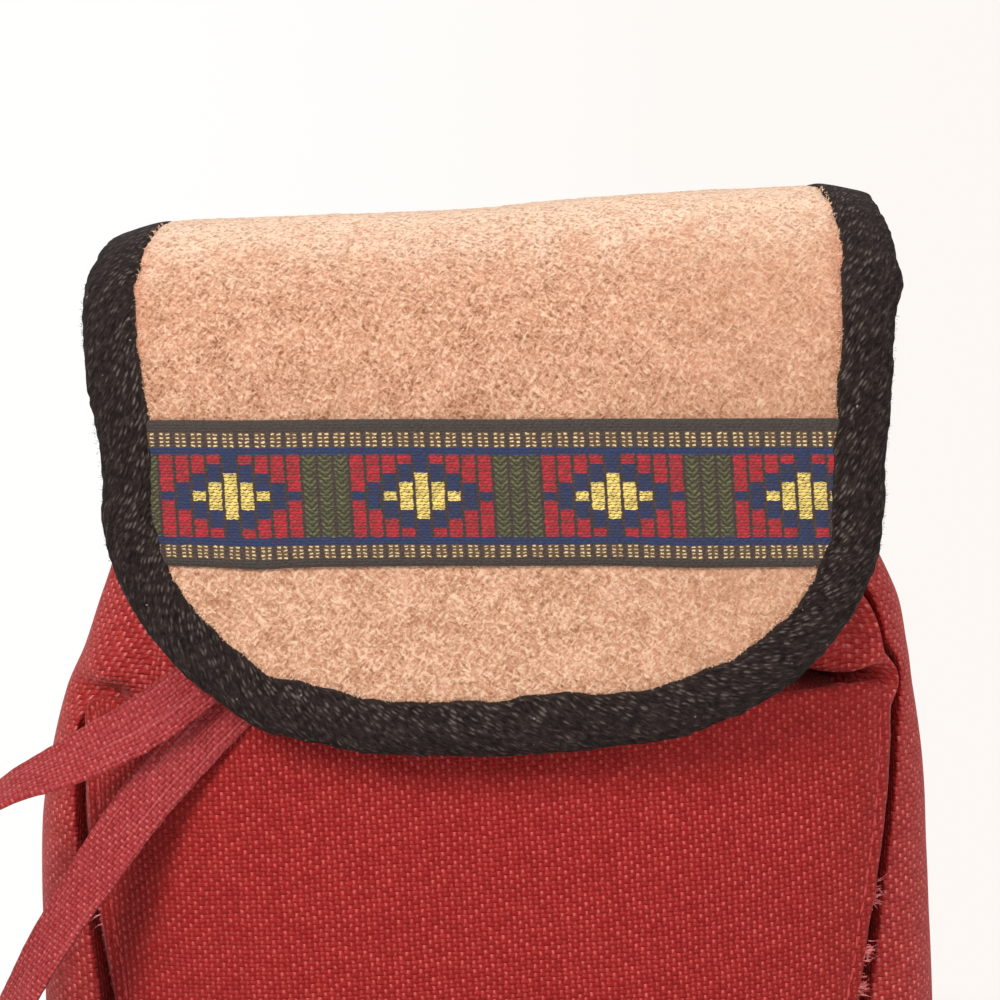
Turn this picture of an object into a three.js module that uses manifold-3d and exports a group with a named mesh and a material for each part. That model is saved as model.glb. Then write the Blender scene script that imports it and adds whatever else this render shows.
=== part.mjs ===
// A small sling backpack: a gathered drawstring sack of coarse red cloth with a patch pocket,
// closed by a suede flap that is bound in black tape and trimmed with a woven ribbon.
// Millimetres, +Z up. The front of the bag faces -Y, and the origin is the middle of its base.
import * as THREE from "three";
import { mergeVertices } from "three/addons/utils/BufferGeometryUtils.js";
import Module from "manifold-3d";

// Cloth and clearances
const clothWall = 1.5; // coarse red cloth with its backing
const sewnGap = 0.3; // between pieces that are sewn together or lie on each other

// Sack, as half widths and depths at its base, knee, belly, shoulder and collar seam
const kneeHeight = 14;
const bellyHeight = 72;
const shoulderHeight = 122;
const collarSeamHeight = 165;
const baseHalfWidth = 71;
const kneeHalfWidth = 79.5;
const bellyHalfWidth = 83;
const shoulderHalfWidth = 80;
const collarSeamHalfWidth = 66;
const baseFrontDepth = 31;
const kneeFrontDepth = 36;
const bellyFrontDepth = 40;
const shoulderFrontDepth = 38;
const collarSeamFrontDepth = 30;
const baseBackDepth = 32;
const kneeBackDepth = 35.5;
const bellyBackDepth = 36.5;
const shoulderBackDepth = 36;
const collarSeamBackDepth = 34;
const frontSquareness = 3.2; // exponent of the oval: 2 is an ellipse, more is boxier
const backSquareness = 5;

// Gathered collar with the casing of its drawstring
const neckHeight = 183;
const mouthHeight = 199;
const neckHalfWidth = 50;
const neckFrontDepth = 24;
const neckBackDepth = 25;
const mouthFlare = 3;
const neckSquareness = 2.2;
const pleatCount = 16;
const pleatDepth = 2.2;
const collarWall = 1.2;
const casingWall = 1.1;
const casingMargin = 1; // casing above and below the drawstring
const casingMouth = 24; // opening of the casing at the middle of the front

// Drawstring, a flat tie folded from the sack's own cloth
const tieWidth = 9.5;
const tieThickness = 1.6;

// Patch pocket on the front
const pocketTop = 125.7;
const pocketBottom = 17;
const pocketTopHalfWidth = 72.6;
const pocketBottomHalfWidth = 62;
const pocketBulge = 9;
const pocketWall = 1.4;

// Flap: a suede sheet with a cloth lining, bent over the mouth from a seam at the back
const flapHingeHeight = 186;
const flapHingeSetback = 37; // from the middle of the base to the seam line
const flapCrestHeight = 209;
const flapLowerEdge = 117;
const flapRearBend = 21;
const flapFrontBend = 34;
const flapFrontLean = 4.5; // degrees by which the hanging front leans out
const flapEase = 3.5; // room under the flap beyond that of the two ties
const flapRootHalfWidth = 58;
const flapCrestHalfWidth = 66;
const flapBendHalfWidth = 68; // where the front bend starts
const flapShoulderHalfWidth = 72;
const flapWaistHalfWidth = 67.6;
const flapRoundEnd = 47; // length of the rounded lower end
const flapEndSquareness = 2.38;
const flapCrown = 4; // how far the side edges lie back from the middle
const flapTopTilt = 0.058; // rise of the crest for each millimetre to the right
const flapLowTilt = 0.026; // the same for the hanging end
const suedeThickness = 2;
const liningThickness = 1;
const bindingWidth = 9.5;
const bindingThickness = 1.4;
const flapOpening = 120; // degrees by which the flap turns back from rest
const bindingRootGap = 4; // bare suede between the seam line and the binding
const ribbonWidth = 26;
const ribbonThickness = 0.8;
const ribbonAboveEdge = 33.5; // from the flap's lower edge to the ribbon

// Yoke that carries the flap and the strap on the back
const yokeOverlap = 15; // how far the yoke reaches down over the back panel
const yokeHalfWidth = 56;

// Sling strap of webbing with its slider, ring and tab, in a plane that leans across the back
const webbingWidth = 22;
const webbingThickness = 1;
const webbingPlay = 1; // room beside the webbing in its slider and ring
const strapTopHeight = 181;
const strapFootHeight = 36;
const strapFootReach = 36; // sideways distance from the strap's top to its foot
const strapBow = 66; // how far the slack strap stands off the back
const sliderDistance = 84; // along the strap, from its sewn end
const sliderThickness = 2.4;
const sliderBar = 3;
const sliderSlot = 7;
const sliderRim = 3;
const sliderCorner = 2.2;
const ringWire = 3;
const ringLength = 13;
const ringSwing = 26; // how far below the ring the slack strap turns up to it
const ringStandOff = 40; // degrees by which the ring is lifted off the back
const ringOpening = 18; // length over which the strap's two layers part towards the ring
const tabLength = 15;

const red = 0xa32c29;
const materials = {
  cloth: new THREE.MeshStandardMaterial({ color: red, roughness: 0.72, metalness: 0 }),
  tie: new THREE.MeshStandardMaterial({ color: 0xb03c40, roughness: 0.8, metalness: 0 }),
  suede: new THREE.MeshStandardMaterial({ color: 0xdba482, roughness: 0.95, metalness: 0 }),
  lining: new THREE.MeshStandardMaterial({ color: 0x8c2624, roughness: 0.8, metalness: 0 }),
  binding: new THREE.MeshStandardMaterial({ color: 0x3b312e, roughness: 0.9, metalness: 0 }),
  ribbon: new THREE.MeshStandardMaterial({ color: 0x34405f, roughness: 0.75, metalness: 0 }),
  webbing: new THREE.MeshStandardMaterial({ color: 0x9a2a28, roughness: 0.7, metalness: 0 }),
  plastic: new THREE.MeshStandardMaterial({ color: 0x1c1b1b, roughness: 0.45, metalness: 0 }),
  steel: new THREE.MeshStandardMaterial({ color: 0xb9b6ae, roughness: 0.3, metalness: 1 }),
};

const bag = new THREE.Group();

function add(name, geometry, material, parent = bag) {
  const mesh = new THREE.Mesh(geometry, material);
  mesh.name = name;
  parent.add(mesh);
  return mesh;
}

// Closed bodies

function signedVolume(points, faces) {
  const six = faces.reduce((sum, [a, b, c]) => {
    return sum + points[a].dot(new THREE.Vector3().crossVectors(points[b], points[c]));
  }, 0);
  return six / 6;
}

function closedGeometry(points, faces) {
  const outward = signedVolume(points, faces) < 0 ? faces.map(([a, b, c]) => [a, c, b]) : faces;
  const geometry = new THREE.BufferGeometry();
  const numbers = points.flatMap((p) => p.toArray());
  geometry.setAttribute("position", new THREE.Float32BufferAttribute(numbers, 3));
  geometry.setIndex(outward.flat());
  geometry.computeVertexNormals();
  return geometry;
}

function quad(a, b, c, d) {
  return [
    [a, b, c],
    [a, c, d],
  ];
}

// A sheet with thickness: point(i, j, side) gives its outer (side 0) and inner (side 1) face.
function sheet(rows, columns, point) {
  const points = [];
  const faces = [];
  for (const side of [0, 1])
    for (let i = 0; i < rows; i++)
      for (let j = 0; j < columns; j++) points.push(point(i, j, side));
  const id = (side, i, j) => side * rows * columns + i * columns + j;
  for (let i = 0; i + 1 < rows; i++) {
    for (let j = 0; j + 1 < columns; j++) {
      faces.push(...quad(id(0, i, j), id(0, i + 1, j), id(0, i + 1, j + 1), id(0, i, j + 1)));
      faces.push(...quad(id(1, i, j), id(1, i, j + 1), id(1, i + 1, j + 1), id(1, i + 1, j)));
    }
  }
  const rim = [];
  for (let i = 0; i < rows - 1; i++) rim.push([i, 0]);
  for (let j = 0; j < columns - 1; j++) rim.push([rows - 1, j]);
  for (let i = rows - 1; i > 0; i--) rim.push([i, columns - 1]);
  for (let j = columns - 1; j > 0; j--) rim.push([0, j]);
  rim.forEach(([i, j], k) => {
    const [ni, nj] = rim[(k + 1) % rim.length];
    faces.push(...quad(id(0, ni, nj), id(0, i, j), id(1, i, j), id(1, ni, nj)));
  });
  return closedGeometry(points, faces);
}

// A ring with thickness: point(i, j, side), where j runs all the way round.
function ring(levels, count, point) {
  const points = [];
  const faces = [];
  for (const side of [0, 1])
    for (let i = 0; i < levels; i++)
      for (let j = 0; j < count; j++) points.push(point(i, j, side));
  const id = (side, i, j) => side * levels * count + i * count + (j % count);
  for (let j = 0; j < count; j++) {
    for (let i = 0; i + 1 < levels; i++) {
      faces.push(...quad(id(0, i, j), id(0, i + 1, j), id(0, i + 1, j + 1), id(0, i, j + 1)));
      faces.push(...quad(id(1, i, j), id(1, i, j + 1), id(1, i + 1, j + 1), id(1, i + 1, j)));
    }
    const top = levels - 1;
    faces.push(...quad(id(0, 0, j), id(0, 0, j + 1), id(1, 0, j + 1), id(1, 0, j)));
    faces.push(...quad(id(0, top, j + 1), id(0, top, j), id(1, top, j), id(1, top, j + 1)));
  }
  return closedGeometry(points, faces);
}

// A flat outline carried through a row of stations: place(k, p) puts outline point p at station k.
function sweep(outline, stations, place, closed = false) {
  const points = [];
  const faces = [];
  const count = outline.length;
  for (let k = 0; k < stations; k++) outline.forEach((p) => points.push(place(k, p)));
  const id = (k, m) => (k % stations) * count + (m % count);
  for (let k = 0; k < (closed ? stations : stations - 1); k++)
    for (let m = 0; m < count; m++)
      faces.push(...quad(id(k, m), id(k + 1, m), id(k + 1, m + 1), id(k, m + 1)));
  if (!closed) {
    const turn = Math.sign(THREE.ShapeUtils.area(outline));
    for (const triangle of THREE.ShapeUtils.triangulateShape(outline, [])) {
      const own = Math.sign(THREE.ShapeUtils.area(triangle.map((m) => outline[m])));
      const [a, b, c] = own === turn ? triangle : [...triangle].reverse();
      faces.push([id(0, a), id(0, b), id(0, c)]);
      faces.push([id(stations - 1, a), id(stations - 1, c), id(stations - 1, b)]);
    }
  }
  return closedGeometry(points, faces);
}

// A closed body less the bodies that are cut out of it.
const solids = await Module();
solids.setup();

function asSolid(geometry) {
  const bare = geometry.clone();
  bare.deleteAttribute("normal");
  bare.deleteAttribute("uv");
  const welded = mergeVertices(bare, 1e-4);
  const mesh = new solids.Mesh({
    numProp: 3,
    vertProperties: new Float32Array(welded.attributes.position.array),
    triVerts: new Uint32Array(welded.index.array),
  });
  return new solids.Manifold(mesh);
}

function cut(geometry, cutters) {
  const mesh = cutters
    .reduce((solid, cutter) => solid.subtract(asSolid(cutter)), asSolid(geometry))
    .getMesh();
  const result = new THREE.BufferGeometry();
  result.setAttribute("position", new THREE.Float32BufferAttribute(mesh.vertProperties, 3));
  result.setIndex(Array.from(mesh.triVerts));
  result.computeVertexNormals();
  return result;
}

// Smooth curve through stations [at, value], with level ends.
function through(stations) {
  const slope = stations.map(([at, value], k) => {
    if (k === 0 || k === stations.length - 1) return 0;
    const [before, valueBefore] = stations[k - 1];
    const [after, valueAfter] = stations[k + 1];
    const rising = (valueAfter - value) * (value - valueBefore) > 0;
    return rising ? (valueAfter - valueBefore) / (after - before) : 0;
  });
  return (at) => {
    const last = stations.length - 1;
    if (at <= stations[0][0]) return stations[0][1];
    if (at >= stations[last][0]) return stations[last][1];
    const k = stations.findIndex(([start], n) => n < last && at >= start && at < stations[n + 1][0]);
    const [start, value] = stations[k];
    const [end, next] = stations[k + 1];
    const step = end - start;
    const t = (at - start) / step;
    return (
      value * (1 + 2 * t) * (1 - t) ** 2 +
      slope[k] * step * t * (1 - t) ** 2 +
      next * t * t * (3 - 2 * t) +
      slope[k + 1] * step * t * t * (t - 1)
    );
  };
}

const spread = (count, from, to) =>
  Array.from({ length: count }, (_, k) => from + ((to - from) * k) / (count - 1));

// Sack

const sackHalfWidth = through([
  [0, baseHalfWidth],
  [kneeHeight, kneeHalfWidth],
  [bellyHeight, bellyHalfWidth],
  [shoulderHeight, shoulderHalfWidth],
  [collarSeamHeight, collarSeamHalfWidth],
]);
const sackFrontDepth = through([
  [0, baseFrontDepth],
  [kneeHeight, kneeFrontDepth],
  [bellyHeight, bellyFrontDepth],
  [shoulderHeight, shoulderFrontDepth],
  [collarSeamHeight, collarSeamFrontDepth],
]);
const sackBackDepth = through([
  [0, baseBackDepth],
  [kneeHeight, kneeBackDepth],
  [bellyHeight, bellyBackDepth],
  [shoulderHeight, shoulderBackDepth],
  [collarSeamHeight, collarSeamBackDepth],
]);

// The sack's oval section: given x as a share of the half width, y as a share of the depth.
const ovalShare = (share, squareness) =>
  Math.max(0, 1 - Math.abs(share) ** squareness) ** (1 / squareness);
const cornerShare = (squareness) => 0.5 ** (1 / squareness);

const frontOfSack = (x, z) =>
  -sackFrontDepth(z) * ovalShare(x / sackHalfWidth(z), frontSquareness);
const backOfSack = (x, z) => sackBackDepth(z) * ovalShare(x / sackHalfWidth(z), backSquareness);

const panelLevels = [
  clothWall + sewnGap,
  ...spread(4, kneeHeight / 3, kneeHeight),
  ...spread(7, bellyHeight / 2, shoulderHeight),
  ...spread(5, shoulderHeight, collarSeamHeight).slice(1),
];

// A point of the sack's wall, moved in by the wall's thickness on its inner side.
function wallPoint(shareX, shareY, z, side) {
  const depth = shareY < 0 ? sackFrontDepth(z) : sackBackDepth(z);
  const wall = side * clothWall;
  return new THREE.Vector3(
    shareX * (sackHalfWidth(z) - wall),
    shareY * (depth - wall),
    z,
  );
}

// A panel ends short of the corner by half of the seam's gap.
const seamShare = (squareness, z) =>
  cornerShare(squareness) - sewnGap / 2 / Math.hypot(sackHalfWidth(z), sackFrontDepth(z));

// Front and back panels run from corner seam to corner seam.
function broadPanel(front) {
  const squareness = front ? frontSquareness : backSquareness;
  const columnCount = 9;
  return sheet(panelLevels.length, columnCount, (i, j, side) => {
    const z = panelLevels[i];
    const edge = seamShare(squareness, z);
    const shareX = edge * ((2 * j) / (columnCount - 1) - 1);
    const shareY = ovalShare(shareX, squareness) * (front ? -1 : 1);
    return wallPoint(shareX, shareY, z, side);
  });
}

// Gussets close the sides between those seams.
function gusset(hand) {
  const halfCount = 4;
  return sheet(panelLevels.length, 2 * halfCount + 1, (i, j, side) => {
    const z = panelLevels[i];
    const front = j < halfCount;
    const squareness = front ? frontSquareness : backSquareness;
    const edge = seamShare(squareness, z);
    const shareY = (edge * (j - halfCount)) / halfCount;
    return wallPoint(hand * ovalShare(shareY, squareness), shareY, z, side);
  });
}

function bottomPanel() {
  const outline = new THREE.Shape(
    spread(49, 0, 2 * Math.PI)
      .slice(0, -1)
      .map((turn) => {
        const front = Math.sin(turn) < 0;
        const power = 2 / (front ? frontSquareness : backSquareness);
        const depth = front ? baseFrontDepth : baseBackDepth;
        return new THREE.Vector2(
          baseHalfWidth * Math.sign(Math.cos(turn)) * Math.abs(Math.cos(turn)) ** power,
          depth * Math.sign(Math.sin(turn)) * Math.abs(Math.sin(turn)) ** power,
        );
      }),
  );
  return new THREE.ExtrudeGeometry(outline, { depth: clothWall, bevelEnabled: false });
}

add("bottom_panel", bottomPanel(), materials.cloth);
add("front_panel", broadPanel(true), materials.cloth);
add("back_panel", broadPanel(false), materials.cloth);
add("left_gusset", gusset(-1), materials.cloth);
add("right_gusset", gusset(1), materials.cloth);

// Gathered collar, its casing and the drawstring inside

const collarBottom = collarSeamHeight + sewnGap;
const collarHalfWidth = through([
  [collarBottom, collarSeamHalfWidth],
  [neckHeight, neckHalfWidth],
  [mouthHeight, neckHalfWidth + mouthFlare],
]);
const collarFrontDepth = through([
  [collarBottom, collarSeamFrontDepth],
  [neckHeight, neckFrontDepth],
  [mouthHeight, neckFrontDepth + mouthFlare],
]);
const collarBackDepth = through([
  [collarBottom, collarSeamBackDepth],
  [neckHeight, neckBackDepth],
  [mouthHeight, neckBackDepth + mouthFlare],
]);
const collarFrontSquareness = through([
  [collarBottom, frontSquareness],
  [neckHeight, neckSquareness],
]);
const collarBackSquareness = through([
  [collarBottom, backSquareness],
  [neckHeight, neckSquareness],
]);
const gathering = through([
  [collarBottom, 0],
  [neckHeight, pleatDepth],
]);

// The collar's line at a height, as a closed curve that starts at the middle of the front.
function collarLine(z) {
  const oval = spread(97, -Math.PI / 2, 1.5 * Math.PI)
    .slice(0, -1)
    .map((turn) => {
      const front = Math.sin(turn) < 0;
      const power = 2 / (front ? collarFrontSquareness(z) : collarBackSquareness(z));
      const depth = front ? collarFrontDepth(z) : collarBackDepth(z);
      return new THREE.Vector3(
        collarHalfWidth(z) * Math.sign(Math.cos(turn)) * Math.abs(Math.cos(turn)) ** power,
        depth * Math.sign(Math.sin(turn)) * Math.abs(Math.sin(turn)) ** power,
        z,
      );
    });
  return new THREE.CatmullRomCurve3(oval, true);
}

// Point at a share of the way round, on the pleated collar, moved out by an offset.
function gatheredPoint(line, share, z, offset) {
  const at = ((share % 1) + 1) % 1;
  const wave = gathering(z) * Math.cos(2 * Math.PI * pleatCount * at);
  const swing = gathering(z) * -2 * Math.PI * pleatCount * Math.sin(2 * Math.PI * pleatCount * at);
  const point = line.getPointAt(at);
  const along = line.getTangentAt(at);
  const out = new THREE.Vector3(along.y, -along.x, 0).normalize();
  const normal = out.clone().addScaledVector(along, -swing / line.getLength()).normalize();
  return point.addScaledVector(out, wave).addScaledVector(normal, offset);
}

const pleatSteps = 4 * pleatCount;
const casingHeight = tieWidth + 2 * casingMargin;
const casingBottom = neckHeight - casingHeight / 2;
const casingTop = neckHeight + casingHeight / 2;
const collarLevels = [
  collarBottom,
  (collarBottom + casingBottom) / 2,
  casingBottom,
  neckHeight,
  casingTop,
  mouthHeight,
];
const collarLines = collarLevels.map(collarLine);

add(
  "gathered_collar",
  ring(collarLevels.length, pleatSteps, (i, j, side) =>
    gatheredPoint(collarLines[i], j / pleatSteps, collarLevels[i], -side * collarWall),
  ),
  materials.cloth,
);

// The casing and the drawstring lie on the collar, fold for fold, and leave its front middle open.
function collarStrip(height, opening, offset, wall) {
  const levels = [neckHeight - height / 2, neckHeight, neckHeight + height / 2];
  const margin = opening / 2 / collarLines[3].getLength();
  const folds = spread(pleatSteps + 1, 0, 1).filter((at) => at > margin && at < 1 - margin);
  const shares = [margin, ...folds, 1 - margin];
  return sheet(levels.length, shares.length, (i, j, side) => {
    const out = offset + (1 - side) * wall;
    const low = levels[i] < neckHeight ? 2 : 3;
    const from = gatheredPoint(collarLines[low], shares[j], collarLevels[low], out);
    const to = gatheredPoint(collarLines[low + 1], shares[j], collarLevels[low + 1], out);
    const share = (levels[i] - collarLevels[low]) / (collarLevels[low + 1] - collarLevels[low]);
    return from.lerp(to, share);
  });
}

const tieOffset = 2 * sewnGap;
const casingOffset = tieOffset + tieThickness + 2 * sewnGap;
const tieOpening = casingMouth - 2 * casingMargin;
add("drawstring", collarStrip(tieWidth, tieOpening, tieOffset, tieThickness), materials.tie);
add(
  "drawstring_casing",
  collarStrip(casingHeight, casingMouth, casingOffset, casingWall),
  materials.cloth,
);

// Patch pocket: sewn down along its sides and foot, standing open at the top

const pocketHalfWidth = through([
  [pocketBottom, pocketBottomHalfWidth],
  [pocketTop, pocketTopHalfWidth],
]);
function pocketStandOff(x, z) {
  const across = 1 - (x / pocketHalfWidth(z)) ** 4;
  const up = 1 - ((pocketTop - z) / (pocketTop - pocketBottom)) ** 3;
  return sewnGap + pocketBulge * across * up;
}
const pocketFace = (x, z) => frontOfSack(x, z) - pocketStandOff(x, z) - pocketWall;

const pocketLevels = spread(13, pocketBottom, pocketTop);
const pocketColumnCount = 15;
add(
  "pocket_panel",
  sheet(pocketLevels.length, pocketColumnCount, (i, j, side) => {
    const z = pocketLevels[i];
    const x = pocketHalfWidth(z) * ((2 * j) / (pocketColumnCount - 1) - 1);
    return new THREE.Vector3(x, pocketFace(x, z) + side * pocketWall, z);
  }),
  materials.cloth,
);

// Flap, laid out flat as u across and v down from the seam, then bent along its profile

const lean = THREE.MathUtils.degToRad(flapFrontLean);
const tieRoom = 2 * tieThickness + 3 * sewnGap + flapEase;
const flapUnderside = pocketFace(0, flapLowerEdge) - tieRoom - liningThickness - sewnGap;

// The suede's inner face from the side, as a line of y and z.
function flapProfilePath() {
  const rearCentre = new THREE.Vector2(
    flapHingeSetback - flapRearBend,
    flapCrestHeight - flapRearBend,
  );
  const frontCentreHeight = flapCrestHeight - flapFrontBend;
  const bendEnd = frontCentreHeight + flapFrontBend * Math.sin(lean);
  const frontAt = (z) => flapUnderside + Math.tan(lean) * (z - flapLowerEdge);
  const frontCentre = frontAt(bendEnd) + flapFrontBend * Math.cos(lean);
  return new THREE.Path()
    .moveTo(flapHingeSetback, flapHingeHeight)
    .lineTo(flapHingeSetback, rearCentre.y)
    .absarc(rearCentre.x, rearCentre.y, flapRearBend, 0, Math.PI / 2, false)
    .lineTo(frontCentre, flapCrestHeight)
    .absarc(frontCentre, frontCentreHeight, flapFrontBend, Math.PI / 2, Math.PI - lean, false)
    .lineTo(frontAt(flapLowerEdge), flapLowerEdge);
}

const flapProfile = flapProfilePath();
const flapLength = flapProfile.getLength();
const flapRoundStart = flapLength - flapRoundEnd;
// Where its bends start and end, along v.
const rearBendStart = flapCrestHeight - flapRearBend - flapHingeHeight;
const rearBendEnd = rearBendStart + (flapRearBend * Math.PI) / 2;
const frontBendEnd = flapLength - (flapCrestHeight - flapFrontBend - flapLowerEdge) / Math.cos(lean);
const frontBendStart = frontBendEnd - flapFrontBend * (Math.PI / 2 - lean);
const flapSide = through([
  [0, flapRootHalfWidth],
  [rearBendEnd, flapCrestHalfWidth],
  [frontBendStart, flapBendHalfWidth],
  [(frontBendStart + frontBendEnd) / 2, flapShoulderHalfWidth],
  [flapRoundStart, flapWaistHalfWidth],
]);

// Half width of the flap at v, inside its outer edge by an inset.
function flapHalfWidth(v, inset) {
  if (v <= flapRoundStart) return flapSide(v) - inset;
  const share = (v - flapRoundStart) / (flapRoundEnd - inset);
  return (flapWaistHalfWidth - inset) * ovalShare(share, flapEndSquareness);
}

const settling = through([
  [frontBendStart, 0],
  [frontBendEnd, 1],
]);
const tilting = through([
  [0, 0],
  [rearBendEnd, flapTopTilt],
  [frontBendStart, flapTopTilt],
  [flapRoundStart, flapLowTilt],
]);

// The flap's flat layout point (u, v), raised by n from the suede's inner face.
function flapPoint(u, v, n) {
  const at = THREE.MathUtils.clamp(v, 0, flapLength);
  const point = flapProfile.getPoint(at / flapLength);
  const along = flapProfile.getTangent(at / flapLength);
  point.addScaledVector(along, v - at);
  const raised = n - flapCrown * settling(v) * (u / flapShoulderHalfWidth) ** 2;
  return new THREE.Vector3(
    u,
    point.x + raised * along.y,
    point.y - raised * along.x + u * tilting(v),
  );
}

// Rows across the flap: close together where it bends, as far as the start of its rounded end.
const sideRows = [
  ...spread(8, bindingRootGap, rearBendEnd),
  ...spread(3, rearBendEnd, frontBendStart).slice(1),
  ...spread(9, frontBendStart, frontBendEnd).slice(1),
  ...spread(3, frontBendEnd, flapRoundStart).slice(1),
];
const flapRows = (inset) => [
  suedeThickness,
  ...sideRows,
  ...spread(8, 0, 1.5)
    .slice(1)
    .map((turn) => Math.sin(turn) ** (2 / flapEndSquareness))
    .map((share) => flapRoundStart + share * (flapRoundEnd - inset)),
];
const flapColumnCount = 9;

// A layer of the flap between two heights, its rows running from the seam to the lower edge.
// The rows fall to the right by the slant.
function flapLayer(rows, inset, heights, slant = 0) {
  return sheet(rows.length, flapColumnCount, (i, j, side) => {
    const share = (2 * j) / (flapColumnCount - 1) - 1;
    const fall = slant * share * flapHalfWidth(Math.max(rows[i], 0), inset);
    const v = rows[i] + fall;
    return flapPoint(share * flapHalfWidth(Math.max(v, 0), inset), v, heights(v)[side]);
  });
}

const coreInset = bindingThickness + 2 * sewnGap;
const suedeMiddle = suedeThickness / 2;
// The suede's seam end is rounded about the seam line, so that it can turn there.
const rootRows = spread(5, Math.PI / 2 - 0.05, 0).map((turn) => -suedeMiddle * Math.sin(turn));

add(
  "flap_suede",
  flapLayer([...rootRows, ...flapRows(coreInset)], coreInset, (v) => {
    const half = v >= 0 ? suedeMiddle : Math.sqrt(suedeMiddle ** 2 - v ** 2);
    return [suedeMiddle + half, suedeMiddle - half];
  }),
  materials.suede,
);
add(
  "flap_lining",
  flapLayer(flapRows(coreInset), coreInset, () => [-sewnGap, -sewnGap - liningThickness]),
  materials.lining,
);

// Binding: a tape folded round the edges of suede and lining

const bindingSection = (() => {
  const top = suedeThickness + 2 * sewnGap;
  const foot = -liningThickness - 3 * sewnGap;
  const fold = bindingThickness * 0.7;
  return [
    [bindingWidth, top],
    [bindingWidth, top + bindingThickness],
    [fold, top + bindingThickness],
    [0, top + bindingThickness - fold],
    [0, foot - bindingThickness + fold],
    [fold, foot - bindingThickness],
    [bindingWidth, foot - bindingThickness],
    [bindingWidth, foot],
    [bindingThickness, foot],
    [bindingThickness, top],
  ].map(([inward, height]) => new THREE.Vector2(inward, height));
})();

const flapEdge = (() => {
  const side = sideRows.slice(0, -1).map((v) => new THREE.Vector2(flapSide(v), v));
  const end = spread(14, 0, Math.PI / 2).map((turn) => {
    const share = Math.sin(turn) ** (2 / flapEndSquareness);
    return new THREE.Vector2(
      flapWaistHalfWidth * Math.max(0, Math.cos(turn)) ** (2 / flapEndSquareness),
      flapRoundStart + flapRoundEnd * share,
    );
  });
  const half = [...side, ...end];
  const other = half.slice(0, -1).reverse();
  return [...half, ...other.map((p) => new THREE.Vector2(-p.x, p.y))];
})();

function edgeInward(k) {
  const before = flapEdge[Math.max(k - 1, 0)];
  const after = flapEdge[Math.min(k + 1, flapEdge.length - 1)];
  const along = after.clone().sub(before).normalize();
  return new THREE.Vector2(-along.y, along.x);
}

add(
  "flap_binding",
  sweep(bindingSection, flapEdge.length, (k, p) => {
    const at = flapEdge[k].clone().addScaledVector(edgeInward(k), p.x);
    return flapPoint(at.x, at.y, p.y);
  }),
  materials.binding,
);

const ribbonEnd = flapLength - ribbonAboveEdge;
const ribbonRows = spread(6, ribbonEnd - ribbonWidth, ribbonEnd);
const ribbonHeights = [suedeThickness + sewnGap + ribbonThickness, suedeThickness + sewnGap];
// The ribbon is sewn on level, so its rows make up for the tilt of the hanging end.
add(
  "flap_ribbon",
  flapLayer(ribbonRows, bindingWidth + 2 * sewnGap, () => ribbonHeights, flapLowTilt),
  materials.ribbon,
);

// Yoke: lies on the back panel and rises to the straight seam line of the flap

const hingeLine = flapHingeSetback + suedeMiddle;
// The yoke ends low enough for the suede to turn over its top edge when the flap is open.
const openTurn = THREE.MathUtils.degToRad(flapOpening);
const turningRoom =
  (suedeMiddle + sewnGap / 2 - (clothWall / 2) * Math.cos(openTurn)) / Math.sin(openTurn);
const yokeTop = flapHingeHeight - Math.max(suedeMiddle + sewnGap, turningRoom);
const yokeBottom = collarSeamHeight - yokeOverlap;
const yokeLevels = spread(7, yokeBottom, yokeTop);
const yokeRise = through([
  [yokeBottom, 0],
  [collarSeamHeight, 1],
]);
const yokeColumnCount = 9;
add(
  "back_yoke",
  sheet(yokeLevels.length, yokeColumnCount, (i, j, side) => {
    const z = yokeLevels[i];
    const x = yokeHalfWidth * ((2 * j) / (yokeColumnCount - 1) - 1);
    const onPanel = backOfSack(x, yokeBottom) + 2 * sewnGap;
    const atSeam = hingeLine - clothWall / 2;
    const inner = THREE.MathUtils.lerp(onPanel, atSeam, yokeRise(z));
    return new THREE.Vector3(x, inner + (1 - side) * clothWall, z);
  }),
  materials.cloth,
);

// Drawstring tails: flat ties that leave the casing, pass under the flap and hang at the left

function tail(name, points, facings) {
  const path = new THREE.CatmullRomCurve3(points.map((p) => new THREE.Vector3(...p)));
  const facing = new THREE.CatmullRomCurve3(facings.map((p) => new THREE.Vector3(...p)));
  const stepCount = 34;
  const half = tieThickness / 2;
  const section = [
    [-tieWidth / 2 + half / 2, -half],
    [tieWidth / 2 - half / 2, -half],
    [tieWidth / 2, -half / 2],
    [tieWidth / 2, half / 2],
    [tieWidth / 2 - half / 2, half],
    [-tieWidth / 2 + half / 2, half],
    [-tieWidth / 2, half / 2],
    [-tieWidth / 2, -half / 2],
  ].map(([across, height]) => new THREE.Vector2(across, height));
  const frames = spread(stepCount, 0, 1).map((share) => {
    const along = path.getTangentAt(share);
    const across = new THREE.Vector3().crossVectors(along, facing.getPoint(share)).normalize();
    return { at: path.getPointAt(share), across, normal: across.clone().cross(along) };
  });
  const place = (k, p) =>
    frames[k].at
      .clone()
      .addScaledVector(frames[k].across, p.x)
      .addScaledVector(frames[k].normal, p.y);
  add(name, sweep(section, stepCount, place), materials.tie);
}

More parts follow.
